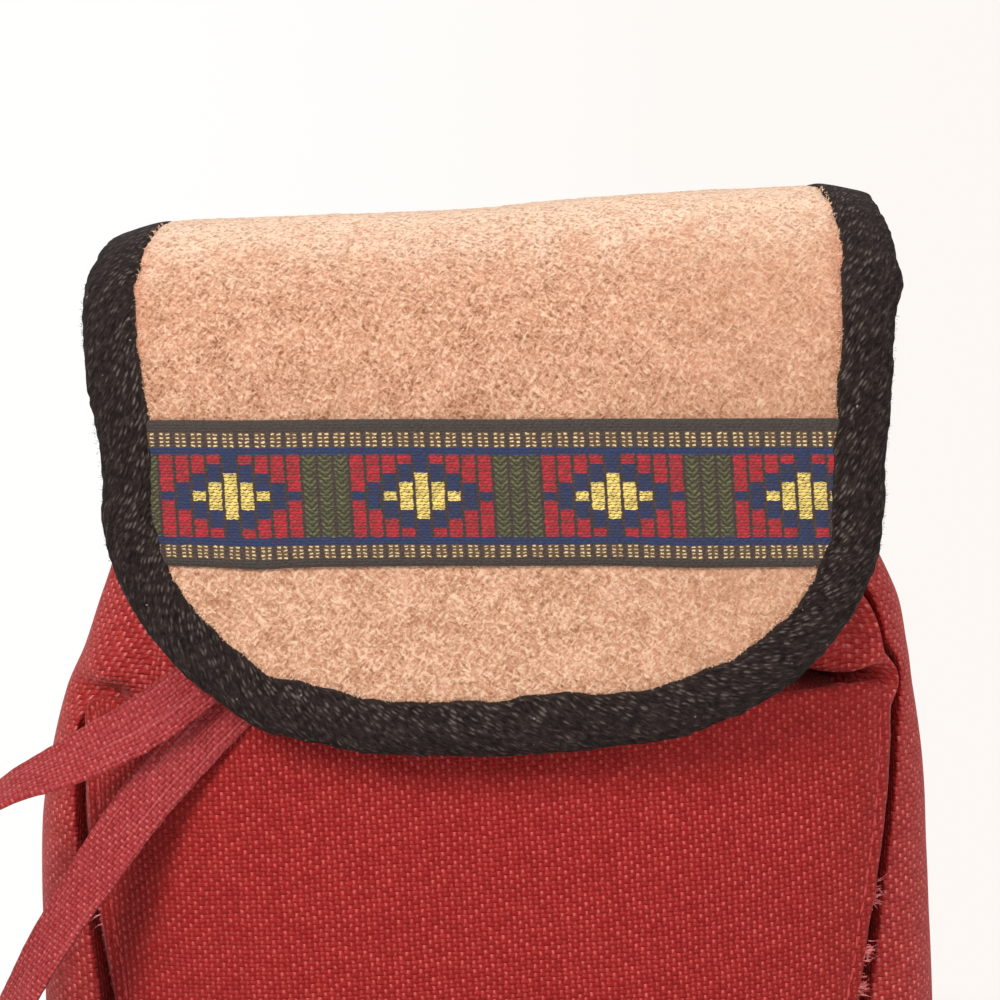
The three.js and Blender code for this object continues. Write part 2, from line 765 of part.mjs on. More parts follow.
tail(
  "drawstring_tail_upper",
  [
    [-8.5, -26.5, 183],
    [-4.5, -27.8, 183],
    [-2, -31, 182.5],
    [-5, -34.5, 181.5],
    [-12, -37.5, 177.5],
    [-22, -42.5, 167],
    [-33, -47.8, 150],
    [-46, -49.8, 134],
    [-60, -50.6, 123],
    [-73, -50.8, 116.5],
    [-85, -51, 111],
    [-95, -50.5, 101],
    [-100, -49, 86],
    [-102, -48, 66],
    [-102, -47, 46],
    [-101, -46, 30],
  ],
  [
    [0, -1, 0],
    [-0.7, -0.7, 0],
    [-0.2, 1, 0.2],
    [0, 1, 0],
    [0, 1, -0.1],
    [0.1, 0.5, -0.85],
    [0.6, 0.3, -0.6],
    [0.8, 0.6, 0],
    [0.8, 0.6, 0],
  ],
);
tail(
  "drawstring_tail_lower",
  [
    [8, -26.5, 183],
    [5.3, -28.2, 182],
    [2.8, -32.5, 176.5],
    [-1.5, -38, 169],
    [-8.5, -42.5, 159.7],
    [-20, -45.5, 148],
    [-33, -46.8, 137],
    [-46.5, -47, 124],
    [-60, -48.2, 109],
    [-72, -49.5, 93.5],
    [-82, -50, 79],
    [-90, -50, 62],
    [-94, -49, 44],
    [-95, -48, 26],
  ],
  [
    [0, -1, 0.2],
    [0, -1, 0.3],
    [0, -1, 0.2],
    [0, -1, 0],
    [-0.1, -1, 0.1],
    [-0.4, -0.9, 0.1],
    [-0.6, -0.8, 0],
  ],
);

// Sling strap, drawn in its own plane: one axis runs down the back, the other stands off it

const strapPlane = new THREE.Group();
const strapSpan = Math.hypot(strapFootReach, strapTopHeight - strapFootHeight);
const strapLean = Math.atan2(strapFootReach, strapTopHeight - strapFootHeight);
const strapSeat = hingeLine + clothWall / 2 + sewnGap + webbingThickness / 2;
strapPlane.position.set(0, strapSeat, strapTopHeight);
// Local X runs down the strap, local Y stands off the back and local Z runs across the webbing.
strapPlane.quaternion.setFromRotationMatrix(
  new THREE.Matrix4().makeBasis(
    new THREE.Vector3(Math.sin(strapLean), 0, -Math.cos(strapLean)),
    new THREE.Vector3(0, 1, 0),
    new THREE.Vector3(Math.cos(strapLean), 0, Math.sin(strapLean)),
  ),
);
bag.add(strapPlane);

const layerStep = webbingThickness + sewnGap;
const wrapRadius = ringWire / 2 + 2 * sewnGap + webbingThickness / 2;
const tabSeat =
  backOfSack(strapFootReach - webbingWidth / 2, strapFootHeight) -
  strapSeat +
  sewnGap +
  webbingThickness / 2;
const ringFoot = new THREE.Vector2(strapSpan, tabSeat + wrapRadius);
const ringTilt = THREE.MathUtils.degToRad(ringStandOff);
const ringHead = new THREE.Vector2(-Math.cos(ringTilt), Math.sin(ringTilt))
  .multiplyScalar(ringLength - ringWire)
  .add(ringFoot);
const sewnLength = strapTopHeight - collarSeamHeight;
const strapLine = new THREE.Path()
  .moveTo(0, 0)
  .lineTo(sewnLength, 0)
  .bezierCurveTo(strapSpan * 0.4, 0, strapSpan * 0.5, strapBow, strapSpan * 0.86, strapBow)
  .bezierCurveTo(
    strapSpan * 1.22,
    strapBow,
    ringHead.x + ringSwing,
    ringHead.y + ringSwing,
    ringHead.x,
    ringHead.y,
  );
const strapLength = strapLine.getLength();

// A point beside the strap line: along it by a distance, off it by a height away from the bag.
function beside(distance, height) {
  const share = distance / strapLength;
  const along = strapLine.getTangent(share);
  return strapLine
    .getPoint(share)
    .addScaledVector(new THREE.Vector2(-along.y, along.x), height);
}

const around = (centre, radius, angle) =>
  new THREE.Vector2(Math.cos(angle), Math.sin(angle)).multiplyScalar(radius).add(centre);

// The webbing runs down under the slider's rims and over its bar, turns round the ring,
// comes back up on its own inner side and is sewn round the slider's bar.
const barHeight = webbingThickness / 2 + 2 * sewnGap + sliderThickness / 2;
const barWrap = Math.hypot(sliderBar, sliderThickness) / 2 + sewnGap + webbingThickness / 2;
const slotEnd = sliderBar / 2 + sliderSlot;
function strapRoute() {
  const over = barHeight + barWrap + layerStep + sewnGap;
  const opening = through([
    [strapLength - ringOpening, 0],
    [strapLength, 1],
  ]);
  const rise = (distance) => {
    const from = Math.min(Math.abs(distance - sliderDistance) / slotEnd, 1);
    return (over / 2) * (1 + Math.cos(Math.PI * from)) + wrapRadius * opening(distance);
  };
  const below = (distance) => {
    const slope = rise(distance + 0.5) - rise(distance - 0.5);
    const apart = wrapRadius * opening(distance);
    return rise(distance) - layerStep * Math.hypot(1, slope) * (1 - opening(distance)) - 2 * apart;
  };
  const upper = spread(11, 0, sliderDistance - slotEnd).slice(0, -1);
  const slots = spread(17, sliderDistance - slotEnd, sliderDistance + slotEnd);
  const lower = spread(34, sliderDistance + slotEnd, strapLength).slice(1);
  const head = strapLine.getTangent(1).angle();
  const route = [...upper, ...slots, ...lower].map((at) => beside(at, rise(at)));
  for (const angle of spread(9, head + Math.PI / 2, head - Math.PI / 2).slice(1, -1))
    route.push(around(ringHead, wrapRadius, angle));
  for (const at of [...slots.slice(8), ...lower].reverse()) route.push(beside(at, below(at)));
  for (const angle of spread(8, Math.PI / 2, 1.4 * Math.PI).slice(1)) {
    const across = barWrap * Math.cos(angle);
    route.push(beside(sliderDistance + across, barHeight + barWrap * Math.sin(angle)));
  }
  return route;
}

// The outline of a line with thickness.
function thickLine(points, thickness) {
  const sides = points.map((point, k) => {
    const [before, after] = [points[Math.max(k - 1, 0)], points[Math.min(k + 1, points.length - 1)]];
    const into = point.clone().sub(k === 0 ? points[0] : before);
    const out = after.clone().sub(k === points.length - 1 ? before : point);
    const first = k === 0 ? out : into;
    const along = first.clone().normalize().add(out.clone().normalize()).normalize();
    const stretch = along.dot(out.clone().normalize());
    const off = new THREE.Vector2(-along.y, along.x).multiplyScalar(thickness / 2 / stretch);
    return [point.clone().add(off), point.clone().sub(off)];
  });
  return new THREE.Shape([...sides.map(([a]) => a), ...sides.map(([, b]) => b).reverse()]);
}

function acrossStrap(shape, width) {
  const geometry = new THREE.ExtrudeGeometry(shape, { depth: width, bevelEnabled: false });
  return geometry.translate(0, 0, -width / 2);
}

add(
  "sling_strap",
  acrossStrap(thickLine(strapRoute(), webbingThickness), webbingWidth),
  materials.webbing,
  strapPlane,
);

// A rectangle with rounded corners, drawn from arc to arc.
function roundedRectangle(outline, low, high, corner) {
  return outline
    .absarc(high.x - corner, low.y + corner, corner, -Math.PI / 2, 0)
    .absarc(high.x - corner, high.y - corner, corner, 0, Math.PI / 2)
    .absarc(low.x + corner, high.y - corner, corner, Math.PI / 2, Math.PI)
    .absarc(low.x + corner, low.y + corner, corner, Math.PI, 1.5 * Math.PI);
}

// Slider: a plate with two slots, seated on the strap line
function slider() {
  const halfLength = slotEnd + sliderRim;
  const halfWidth = webbingWidth / 2 + webbingPlay + sliderRim;
  const plate = roundedRectangle(
    new THREE.Shape(),
    new THREE.Vector2(-halfLength, -halfWidth),
    new THREE.Vector2(halfLength, halfWidth),
    sliderCorner,
  );
  const cast = new THREE.ExtrudeGeometry(plate, {
    depth: sliderThickness,
    bevelEnabled: false,
    curveSegments: 5,
  }).translate(0, 0, -sliderThickness / 2);
  const slot = new THREE.BoxGeometry(sliderSlot, webbingWidth + 2 * webbingPlay, 2 * sliderThickness);
  const middle = (sliderBar + sliderSlot) / 2;
  return cut(cast, [slot.clone().translate(-middle, 0, 0), slot.translate(middle, 0, 0)]);
}

const sliderMesh = add("strap_slider", slider(), materials.plastic, strapPlane);
{
  const along = strapLine.getTangent(sliderDistance / strapLength);
  const seat = beside(sliderDistance, barHeight);
  sliderMesh.position.set(seat.x, seat.y, 0);
  sliderMesh.quaternion.setFromRotationMatrix(
    new THREE.Matrix4().makeBasis(
      new THREE.Vector3(along.x, along.y, 0),
      new THREE.Vector3(0, 0, -1),
      new THREE.Vector3(-along.y, along.x, 0),
    ),
  );
}

// Ring: a wire loop whose head holds the strap and whose foot hangs in the tab

function wireRing() {
  const reach = webbingWidth / 2 + webbingPlay + ringWire / 2;
  const line = roundedRectangle(
    new THREE.Path(),
    new THREE.Vector2(0, -reach),
    new THREE.Vector2(ringLength - ringWire, reach),
    ringWire,
  );
  line.closePath();
  const stationCount = 32;
  const section = spread(7, 0, 2 * Math.PI)
    .slice(0, -1)
    .map((turn) => new THREE.Vector2(Math.cos(turn), Math.sin(turn)).multiplyScalar(ringWire / 2));
  return sweep(
    section,
    stationCount,
    (k, p) => {
      const at = line.getPoint(k / stationCount);
      const along = line.getTangent(k / stationCount);
      return new THREE.Vector3(at.x + along.y * p.x, at.y - along.x * p.x, p.y);
    },
    true,
  );
}

const ringMesh = add("strap_ring", wireRing(), materials.steel, strapPlane);
{
  const along = ringFoot.clone().sub(ringHead).normalize();
  ringMesh.position.set(ringHead.x, ringHead.y, 0);
  ringMesh.quaternion.setFromRotationMatrix(
    new THREE.Matrix4().makeBasis(
      new THREE.Vector3(along.x, along.y, 0),
      new THREE.Vector3(0, 0, -1),
      new THREE.Vector3(-along.y, along.x, 0),
    ),
  );
}

// Tab: a folded strip of webbing sewn to the back panel, with the ring's foot in its fold
function tabRoute() {
  const rise = through([
    [ringFoot.x, 2 * wrapRadius],
    [ringFoot.x + tabLength * 0.6, layerStep],
  ]);
  const stops = spread(7, ringFoot.x + tabLength, ringFoot.x);
  const route = [new THREE.Vector2(stops[0], tabSeat), new THREE.Vector2(ringFoot.x, tabSeat)];
  for (const angle of spread(9, -Math.PI / 2, -1.5 * Math.PI).slice(1, -1))
    route.push(around(ringFoot, wrapRadius, angle));
  for (const at of [...stops].reverse()) route.push(new THREE.Vector2(at, tabSeat + rise(at)));
  return route;
}

add(
  "strap_tab",
  acrossStrap(thickLine(tabRoute(), webbingThickness), webbingWidth),
  materials.webbing,
  strapPlane,
);

export default bag;
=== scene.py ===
import bisect
import math
import random

import bmesh
import bpy
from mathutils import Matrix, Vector, noise


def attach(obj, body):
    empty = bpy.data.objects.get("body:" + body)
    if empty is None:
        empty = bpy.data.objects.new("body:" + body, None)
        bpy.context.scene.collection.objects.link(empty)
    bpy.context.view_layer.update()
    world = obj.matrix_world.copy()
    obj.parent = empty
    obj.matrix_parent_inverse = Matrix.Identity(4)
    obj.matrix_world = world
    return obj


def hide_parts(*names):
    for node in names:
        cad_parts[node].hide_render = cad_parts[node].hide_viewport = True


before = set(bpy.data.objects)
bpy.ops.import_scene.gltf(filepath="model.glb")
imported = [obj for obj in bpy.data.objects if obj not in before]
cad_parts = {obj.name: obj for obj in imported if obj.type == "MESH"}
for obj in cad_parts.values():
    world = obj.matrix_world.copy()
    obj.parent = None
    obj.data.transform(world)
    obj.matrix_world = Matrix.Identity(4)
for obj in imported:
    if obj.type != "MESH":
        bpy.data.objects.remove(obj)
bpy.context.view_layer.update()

mm = 0.001  # the pieces are worked out in millimetres and laid in metres
random.seed(11)


# Camera, set up as the photo was taken

photoCamera = {
    "aim": (1.7, -55.0, 162.0),  # point in the middle of the picture
    "distance": 650.0,
    "elevation": 6.0,
    "lens": 135.8,
}


def makeCamera():
    aim = Vector(photoCamera["aim"]) * mm
    tilt = math.radians(photoCamera["elevation"])
    back = Vector((0, -math.cos(tilt), math.sin(tilt)))
    bpy.ops.object.camera_add(location=aim + back * photoCamera["distance"] * mm)
    camera = bpy.context.object
    camera.name = "photo_camera"
    camera.rotation_euler = back.to_track_quat("Z", "Y").to_euler()
    camera.data.lens = photoCamera["lens"]
    camera.data.clip_start = 0.01
    bpy.context.scene.camera = camera


makeCamera()


# Curves and meshes that the pieces share

def through(stations):
    # smooth curve through (at, value) pairs with level ends, as the pattern pieces were drafted
    ats = [at for at, _ in stations]
    values = [value for _, value in stations]
    slopes = [0.0] * len(stations)
    for k in range(1, len(stations) - 1):
        if (values[k + 1] - values[k]) * (values[k] - values[k - 1]) > 0:
            slopes[k] = (values[k + 1] - values[k - 1]) / (ats[k + 1] - ats[k - 1])

    def curve(at):
        if at <= ats[0]:
            return values[0]
        if at >= ats[-1]:
            return values[-1]
        k = bisect.bisect_right(ats, at) - 1
        step = ats[k + 1] - ats[k]
        t = (at - ats[k]) / step
        return (
            values[k] * (1 + 2 * t) * (1 - t) ** 2
            + slopes[k] * step * t * (1 - t) ** 2
            + values[k + 1] * t * t * (3 - 2 * t)
            + slopes[k + 1] * step * t * t * (t - 1)
        )

    return curve


def smooth(value, low, high):
    t = min(max((value - low) / (high - low), 0.0), 1.0)
    return t * t * (3 - 2 * t)


def hump(value, centre, width):
    return math.exp(-(((value - centre) / width) ** 2))


def ripple(x, y, size, seed=0.0):
    return noise.noise(Vector((x / size, y / size, seed)))


def ovalShare(share, squareness):
    return max(0.0, 1 - abs(share) ** squareness) ** (1 / squareness)


def signedPower(value, power):
    return math.copysign(abs(value) ** power, value)


def runningLengths(points):
    lengths = [0.0]
    for before, after in zip(points, points[1:]):
        lengths.append(lengths[-1] + math.dist(before, after))
    return lengths


def partAt(lengths, want):
    # which step of a line a length falls in, and the share of that step
    want = min(max(want, 0.0), lengths[-1])
    k = min(max(bisect.bisect_right(lengths, want) - 1, 0), len(lengths) - 2)
    return k, (want - lengths[k]) / max(lengths[k + 1] - lengths[k], 1e-9)


def tapeSection(share, width, thickness, edgePower, facePower):
    # round a flat tape: place across it, height, and place on its cloth, with the back after the front
    turn = 2 * math.pi * share
    across = width / 2 * signedPower(math.cos(turn), edgePower)
    rise = thickness / 2 * signedPower(math.sin(turn), facePower)
    return across, rise, across if rise >= 0 else 2 * width - across


def useOnly(piece):
    bpy.ops.object.select_all(action="DESELECT")
    piece.select_set(True)
    bpy.context.view_layer.objects.active = piece


def trueLengths(laid, columns, middle, hung):
    # flat places measured on the shaped cloth, out from a middle column and, if hung, down from the top row
    points = [point for point, _ in laid]
    flat = [list(place) for _, place in laid]

    def measure(at, neighbour, axis, sign):
        flat[at][axis] = flat[neighbour][axis] + sign * (points[at] - points[neighbour]).length

    start = round(middle * (columns - 1))
    for base in range(0, len(laid), columns):
        for at in range(base + start + 1, base + columns):
            measure(at, at - 1, 0, 1)
        for at in range(base + start - 1, base - 1, -1):
            measure(at, at + 1, 0, -1)
    if hung:
        for at in range(len(laid) - columns - 1, -1, -1):
            measure(at, at + columns, 1, -1)
    return flat


def layGrid(name, across, down, place, middle=None, hung=False):
    # a flat grid laid on its shape: place(s, t) gives a point and its place on the flat cloth
    bpy.ops.object.select_all(action="DESELECT")
    bpy.ops.mesh.primitive_grid_add(x_subdivisions=across, y_subdivisions=down, size=2)
    piece = bpy.context.object
    piece.name = name
    mesh = piece.data
    mesh.name = name
    laid = [place(0.5 + v.co.x / 2, 0.5 + v.co.y / 2) for v in mesh.vertices]
    mesh.vertices.foreach_set("co", [c * mm for point, _ in laid for c in point])
    layer = mesh.uv_layers[0]
    layer.name = "cloth"
    places = [flat for _, flat in laid]
    if middle is not None:
        places = trueLengths(laid, across + 1, middle, hung)
    layer.data.foreach_set("uv", [c for loop in mesh.loops for c in places[loop.vertex_index]])
    mesh.update()
    return piece


def faceOut(piece, outward):
    # turns the faces over where they look away from the outward side
    useOnly(piece)
    total = sum((face.normal * face.area for face in piece.data.polygons), Vector())
    if total.dot(Vector(outward)) < 0:
        bpy.ops.object.mode_set(mode="EDIT")
        bpy.ops.mesh.select_all(action="SELECT")
        bpy.ops.mesh.flip_normals()
        bpy.ops.object.mode_set(mode="OBJECT")


def thicken(piece, wall):
    useOnly(piece)
    solid = piece.modifiers.new("wall", "SOLIDIFY")
    solid.thickness = wall * mm
    solid.offset = -1
    bpy.ops.object.modifier_apply(modifier=solid.name)


def closeUp(piece, caps=False):
    # welds the seam of a rolled grid, and caps its open ends
    useOnly(piece)
    bpy.ops.object.mode_set(mode="EDIT")
    bpy.ops.mesh.select_all(action="SELECT")
    bpy.ops.mesh.remove_doubles(threshold=1e-6)
    if caps:
        bpy.ops.mesh.fill_holes(sides=0)
    bpy.ops.mesh.select_all(action="SELECT")
    bpy.ops.mesh.normals_make_consistent(inside=False)
    bpy.ops.object.mode_set(mode="OBJECT")


def finishPiece(piece, material, body, slot, *nodes, angle=50):
    useOnly(piece)
    piece.data.materials.clear()
    piece.data.materials.append(material)
    bpy.ops.object.shade_smooth_by_angle(angle=math.radians(angle))
    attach(piece, body)
    if nodes:
        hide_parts(*nodes)


def finishCloth(piece, outward, wall, material, body, slotName, node, angle=50):
    faceOut(piece, outward)
    thicken(piece, wall)
    finishPiece(piece, material, body, slotName, node, angle=angle)


def looseMesh(name, verts, faces, material, body, slotName):
    mesh = bpy.data.meshes.new(name)
    mesh.from_pydata([tuple(v) for v in verts], [], faces)
    mesh.update()
    piece = bpy.data.objects.new(name, mesh)
    bpy.context.collection.objects.link(piece)
    closeUp(piece)
    finishPiece(piece, material, body, slotName, angle=70)


class Route:
    # a smooth line through given points, with the same easing between them as the cords have
    def __init__(self, points, samples=600):
        self.points = [Vector(p) for p in points]
        self.line = [self.at(k / samples) for k in range(samples + 1)]
        self.lengths = runningLengths(self.line)
        self.length = self.lengths[-1]

    def at(self, share):
        points = self.points
        place = min(max(share, 0.0), 1.0) * (len(points) - 1)
        k = min(int(place), len(points) - 2)
        t = place - k
        p1, p2 = points[k], points[k + 1]
        p0 = points[k - 1] if k else p1 + (p1 - p2)
        p3 = points[k + 2] if k + 2 < len(points) else p2 + (p2 - p1)
        gaps = [max((b - a).length, 1e-6) ** 0.5 for a, b in ((p0, p1), (p1, p2), (p2, p3))]
        leave = (p1 - p0) / gaps[0] - (p2 - p0) / (gaps[0] + gaps[1]) + (p2 - p1) / gaps[1]
        reach = (p2 - p1) / gaps[1] - (p3 - p1) / (gaps[1] + gaps[2]) + (p3 - p2) / gaps[2]
        leave, reach = leave * gaps[1], reach * gaps[1]
        bend = (p1 - p2) * 2 + leave + reach
        return p1 + leave * t + ((p2 - p1) * 3 - leave * 2 - reach) * t * t + bend * t ** 3

    def along(self, share):
        k, f = partAt(self.lengths, share * self.length)
        return self.line[k].lerp(self.line[k + 1], f)

    def heading(self, share):
        return (self.along(share + 0.002) - self.along(share - 0.002)).normalized()


# Node helpers

class Value:
    # a node's output, used in sums as a number is
    def __init__(self, tree, socket):
        self.tree = tree
        self.socket = socket

    def calc(self, operation, *others):
        node = self.tree.nodes.new("ShaderNodeMath")
        node.operation = operation
        for value, socket in zip((self, *others), node.inputs):
            join(self.tree, value, socket)
        return Value(self.tree, node.outputs[0])

    def __add__(self, other):
        return self.calc("ADD", other)

    def __sub__(self, other):
        return self.calc("SUBTRACT", other)

    def __mul__(self, other):
        return self.calc("MULTIPLY", other)

    def __truediv__(self, other):
        return self.calc("DIVIDE", other)

    def __mod__(self, other):
        return self.calc("FLOORED_MODULO", other)

    def __pow__(self, other):
        return self.calc("POWER", other)

    def __gt__(self, other):
        return self.calc("GREATER_THAN", other)

    def __abs__(self):
        return self.calc("ABSOLUTE")

    def floor(self):
        return self.calc("FLOOR")

    def fract(self):
        return self.calc("FRACT")

    def cosine(self):
        return self.calc("COSINE")

    def larger(self, other):
        return self.calc("MAXIMUM", other)


def srgb(red, green, blue):
    def linear(c):
        c /= 255
        return c / 12.92 if c <= 0.04045 else ((c + 0.055) / 1.055) ** 2.4

    return (linear(red), linear(green), linear(blue), 1.0)


def newMaterial(name, roughness, specular=0.3):
    material = bpy.data.materials.new(name)
    material.use_nodes = True
    tree = material.node_tree
    shader = tree.nodes["Principled BSDF"]
    shader.inputs["Roughness"].default_value = roughness
    shader.inputs["Specular IOR Level"].default_value = specular
    return material, tree, shader


def join(tree, value, socket):
    if isinstance(value, Value):
        tree.links.new(value.socket, socket)
    else:
        socket.default_value = value


def mix(share, first, second):
    node = share.tree.nodes.new("ShaderNodeMix")
    node.data_type = "RGBA"
    for value, at in ((share, 0), (first, 6), (second, 7)):
        join(share.tree, value, node.inputs[at])
    return Value(share.tree, node.outputs[2])


def between(value, low, high, outLow=0.0, outHigh=1.0):
    node = value.tree.nodes.new("ShaderNodeMapRange")
    node.interpolation_type = "SMOOTHSTEP"
    for number, socket in zip((value, low, high, outLow, outHigh), node.inputs):
        join(value.tree, number, socket)
    return Value(value.tree, node.outputs[0])


def ramp(value, *stops):
    node = value.tree.nodes.new("ShaderNodeValToRGB")
    elements = node.color_ramp.elements
    while len(elements) < len(stops):
        elements.new(0.5)
    for element, (at, colour) in zip(elements, stops):
        element.position = at
        element.color = colour
    join(value.tree, value, node.inputs[0])
    return Value(value.tree, node.outputs[0])


def splitUp(vector):
    node = vector.tree.nodes.new("ShaderNodeSeparateXYZ")
    join(vector.tree, vector, node.inputs[0])
    return [Value(vector.tree, output) for output in node.outputs]


def clothPlace(tree):
    # where a point lies on its flat cloth, in millimetres
    node = tree.nodes.new("ShaderNodeUVMap")
    node.uv_map = "cloth"
    place = Value(tree, node.outputs[0])
    return place, *splitUp(place)[:2]


def objectPlace(tree):
    return Value(tree, tree.nodes.new("ShaderNodeTexCoord").outputs["Object"])


def speckle(vector, scale, detail=2.0, rough=0.5, bend=0.0):
    node = vector.tree.nodes.new("ShaderNodeTexNoise")
    names = ("Vector", "Scale", "Detail", "Roughness", "Distortion")
    for name, value in zip(names, (vector, scale, detail, rough, bend)):
        join(vector.tree, value, node.inputs[name])
    return Value(vector.tree, node.outputs[0])


def stretched(vector, size, turn=0.0):
    # sets out the pattern in spots of a given length and width, turned
    node = vector.tree.nodes.new("ShaderNodeMapping")
    node.vector_type = "TEXTURE"
    node.inputs["Scale"].default_value = (*size, 1.0)
    node.inputs["Rotation"].default_value = (0, 0, math.radians(turn))
    join(vector.tree, vector, node.inputs["Vector"])
    return Value(vector.tree, node.outputs[0])


def perThread(number):
    node = number.tree.nodes.new("ShaderNodeTexWhiteNoise")
    node.noise_dimensions = "1D"
    join(number.tree, number, node.inputs["W"])
    return Value(number.tree, node.outputs[0])


def perStitch(column, row):
    cell = column.tree.nodes.new("ShaderNodeCombineXYZ")
    join(column.tree, column, cell.inputs[0])
    join(column.tree, row, cell.inputs[1])
    node = column.tree.nodes.new("ShaderNodeTexWhiteNoise")
    node.noise_dimensions = "2D"
    column.tree.links.new(cell.outputs[0], node.inputs["Vector"])
    return Value(column.tree, node.outputs[0])


def relief(shader, height, depth):
    node = height.tree.nodes.new("ShaderNodeBump")
    node.inputs["Strength"].default_value = 1.0
    node.inputs["Distance"].default_value = depth * mm
    join(height.tree, height, node.inputs["Height"])
    height.tree.links.new(node.outputs[0], shader.inputs["Normal"])


def paint(shader, colour):
    join(colour.tree, colour, shader.inputs["Base Color"])


def addSheen(shader, weight, roughness, tint):
    shader.inputs["Sheen Weight"].default_value = weight
    shader.inputs["Sheen Roughness"].default_value = roughness
    shader.inputs["Sheen Tint"].default_value = tint


def plainWeave(across, along, pitchAcross, pitchAlong):
    # weft and warp on top in turn: height, share painted in shade, share painted as a highlight, a random
    # number
    span = 0.55  # share of a pair that the weft covers
    p = across / pitchAcross
    q = perThread(p.floor()) * 0.2 + along / pitchAlong
    row = q.floor()
    pair = (p + row % 2.0) * 0.5
    spot = pair.fract()
    warpOver = spot > span
    weftAt = spot / span - 0.5
    warpAt = (spot - span) / (1 - span) - 0.5
    up = q.fract() - 0.5

    def pick(weft, warp):
        return (warp - weft) * warpOver + weft

    def crown(place, fullness):
        return (place * (math.pi * fullness)).cosine()

    ends = abs(weftAt * 2.0) ** 4.0
    weft = crown(up, 0.9) * (ends * -0.5 + 0.9)
    warp = crown(warpAt, 0.9) * (crown(up, 0.8) * 0.6 + 0.4)
    # painted shade: a dark dash under each weft brick and a dark slit down the right of each warp rib, where
    # light from the upper left would not reach
    dash = between(up, -0.5, -0.1, 1.0, 0.0) * between(weftAt, -0.5, -0.1, 0.35, 1.0)
    slit = between(warpAt, 0.1, 0.5, 0.0, 0.8) * between(up, -0.5, 0.4, 1.0, 0.5)
    # painted highlight: the left of each warp rib and the upper left of each weft brick, as if lit from the
    # upper left
    shine = between(warpAt, -0.5, -0.35, 0.2, 1.0) * between(warpAt, -0.2, 0.15, 1.0, 0.0)
    shine = shine * between(up, -0.45, 0.1, 0.2, 1.0)
    gleam = between(weftAt, -0.5, 0.3, 0.4, 0.0) * between(up, -0.1, 0.3)
    number = perStitch(warpOver * 0.5 + pair.floor(), row)
    return pick(weft, warp), pick(dash, slit), pick(gleam, shine), number


# Finishes

# in each look the darkest colour is painted shade under the threads, the lightest a painted highlight on them
clothLook = {
    "pitchAcross": 1.06,
    "pitchAlong": 0.82,
    "paintedShade": srgb(108, 0, 2),
    "dull": srgb(128, 17, 15),
    "bright": srgb(150, 31, 28),
    "lit": srgb(208, 104, 100),
    "depth": 0.22,
    "sheen": 0.08,
    "streaks": 0.0,
}
litBodyLook = {  # coarser on the sack itself than on the pocket, and painted lighter, with stronger painted highlights, as its sides catch more light
    **clothLook,
    "pitchAcross": 1.5,
    "pitchAlong": 0.88,
    "paintedShade": srgb(96, 0, 2),
    "dull": srgb(142, 24, 22),
    "bright": srgb(170, 46, 43),
    "lit": srgb(236, 140, 136),
    "depth": 0.28,
    "sheen": 0.12,
}
tieLook = {
    "pitchAcross": 0.92,
    "pitchAlong": 0.74,
    "paintedShade": srgb(104, 6, 10),
    "dull": srgb(138, 35, 37),
    "bright": srgb(160, 51, 53),
    "lit": srgb(206, 118, 118),
    "depth": 0.25,
    "sheen": 0.1,
    "streaks": 0.28,
}
liningLook = {
    "pitchAcross": 0.8,
    "pitchAlong": 0.7,
    "paintedShade": srgb(70, 8, 10),
    "dull": srgb(112, 26, 26),
    "bright": srgb(136, 40, 38),
    "lit": srgb(172, 84, 82),
    "depth": 0.2,
    "sheen": 0.1,
    "streaks": 0.0,
}


def redCloth(name, look):
    material, tree, shader = newMaterial(name, 0.7, 0.12)
    place, u, v = clothPlace(tree)
    side = stretched(place, (1, 1), 90)
    for scale, sway in ((0.16, 0.7), (0.7, 0.4)):  # the threads don't run quite straight
        u = (speckle(place, scale) - 0.5) * sway + u
        v = (speckle(side, scale) - 0.5) * sway + v
    height, under, lit, number = plainWeave(u, v, look["pitchAcross"], look["pitchAlong"])
    fibres = speckle(place, 4.6, 2.0, 0.6)
    thread = mix(between(number * 0.2 + fibres * 0.8, 0.3, 0.7), look["dull"], look["bright"])
    uneven = number * 0.3 + fibres
    # painted highlight on the threads, then painted shade under them
    thread = mix(between(uneven, 0.4, 0.9, 0.14, 0.7) * lit, thread, look["lit"])
    thread = mix(between(uneven, 0.4, 0.85, 1.0, 0.55) * under, thread, look["paintedShade"])
    if look["streaks"]:
        lines = speckle(stretched(place, (28, 0.5)), 1.0)
        thread = mix(between(lines, 0.5, 0.75, 0.0, look["streaks"]), thread, look["lit"])
    paint(shader, thread)
    relief(shader, fibres * 0.3 + height, look["depth"])
    addSheen(shader, look["sheen"], 0.4, srgb(255, 205, 200))
    return material


litBodyCloth = redCloth("lit_body_cloth", litBodyLook)
bagCloth = redCloth("red_cloth", clothLook)
tieCloth = redCloth("tie_cloth", tieLook)
liningCloth = redCloth("lining_cloth", liningLook)

suedeLook = {
    "pit": srgb(126, 80, 56),
    "shade": srgb(171, 122, 93),
    "nap": srgb(191, 143, 114),
    "tip": srgb(220, 182, 154),
    "cream": srgb(228, 199, 174),
    "flush": srgb(186, 120, 92),
    "edgeTint": srgb(178, 80, 58),
    "fibres": (((1.9, 0.75), 40), ((1.8, 0.75), 125)),  # length, width and turn of the nap's two lays
    "edgeAt": 58.5,  # distance from the middle where the red of the dye starts to show
    "creamFull": 76.0,  # distance from the seam as far as which the bend is paled by rubbing and painted lighter where it faces the light from above
    "creamEnd": 101.0,
    "paleFrom": 145.0,  # below the ribbon the suede is made lighter
    "depth": 0.75,
}


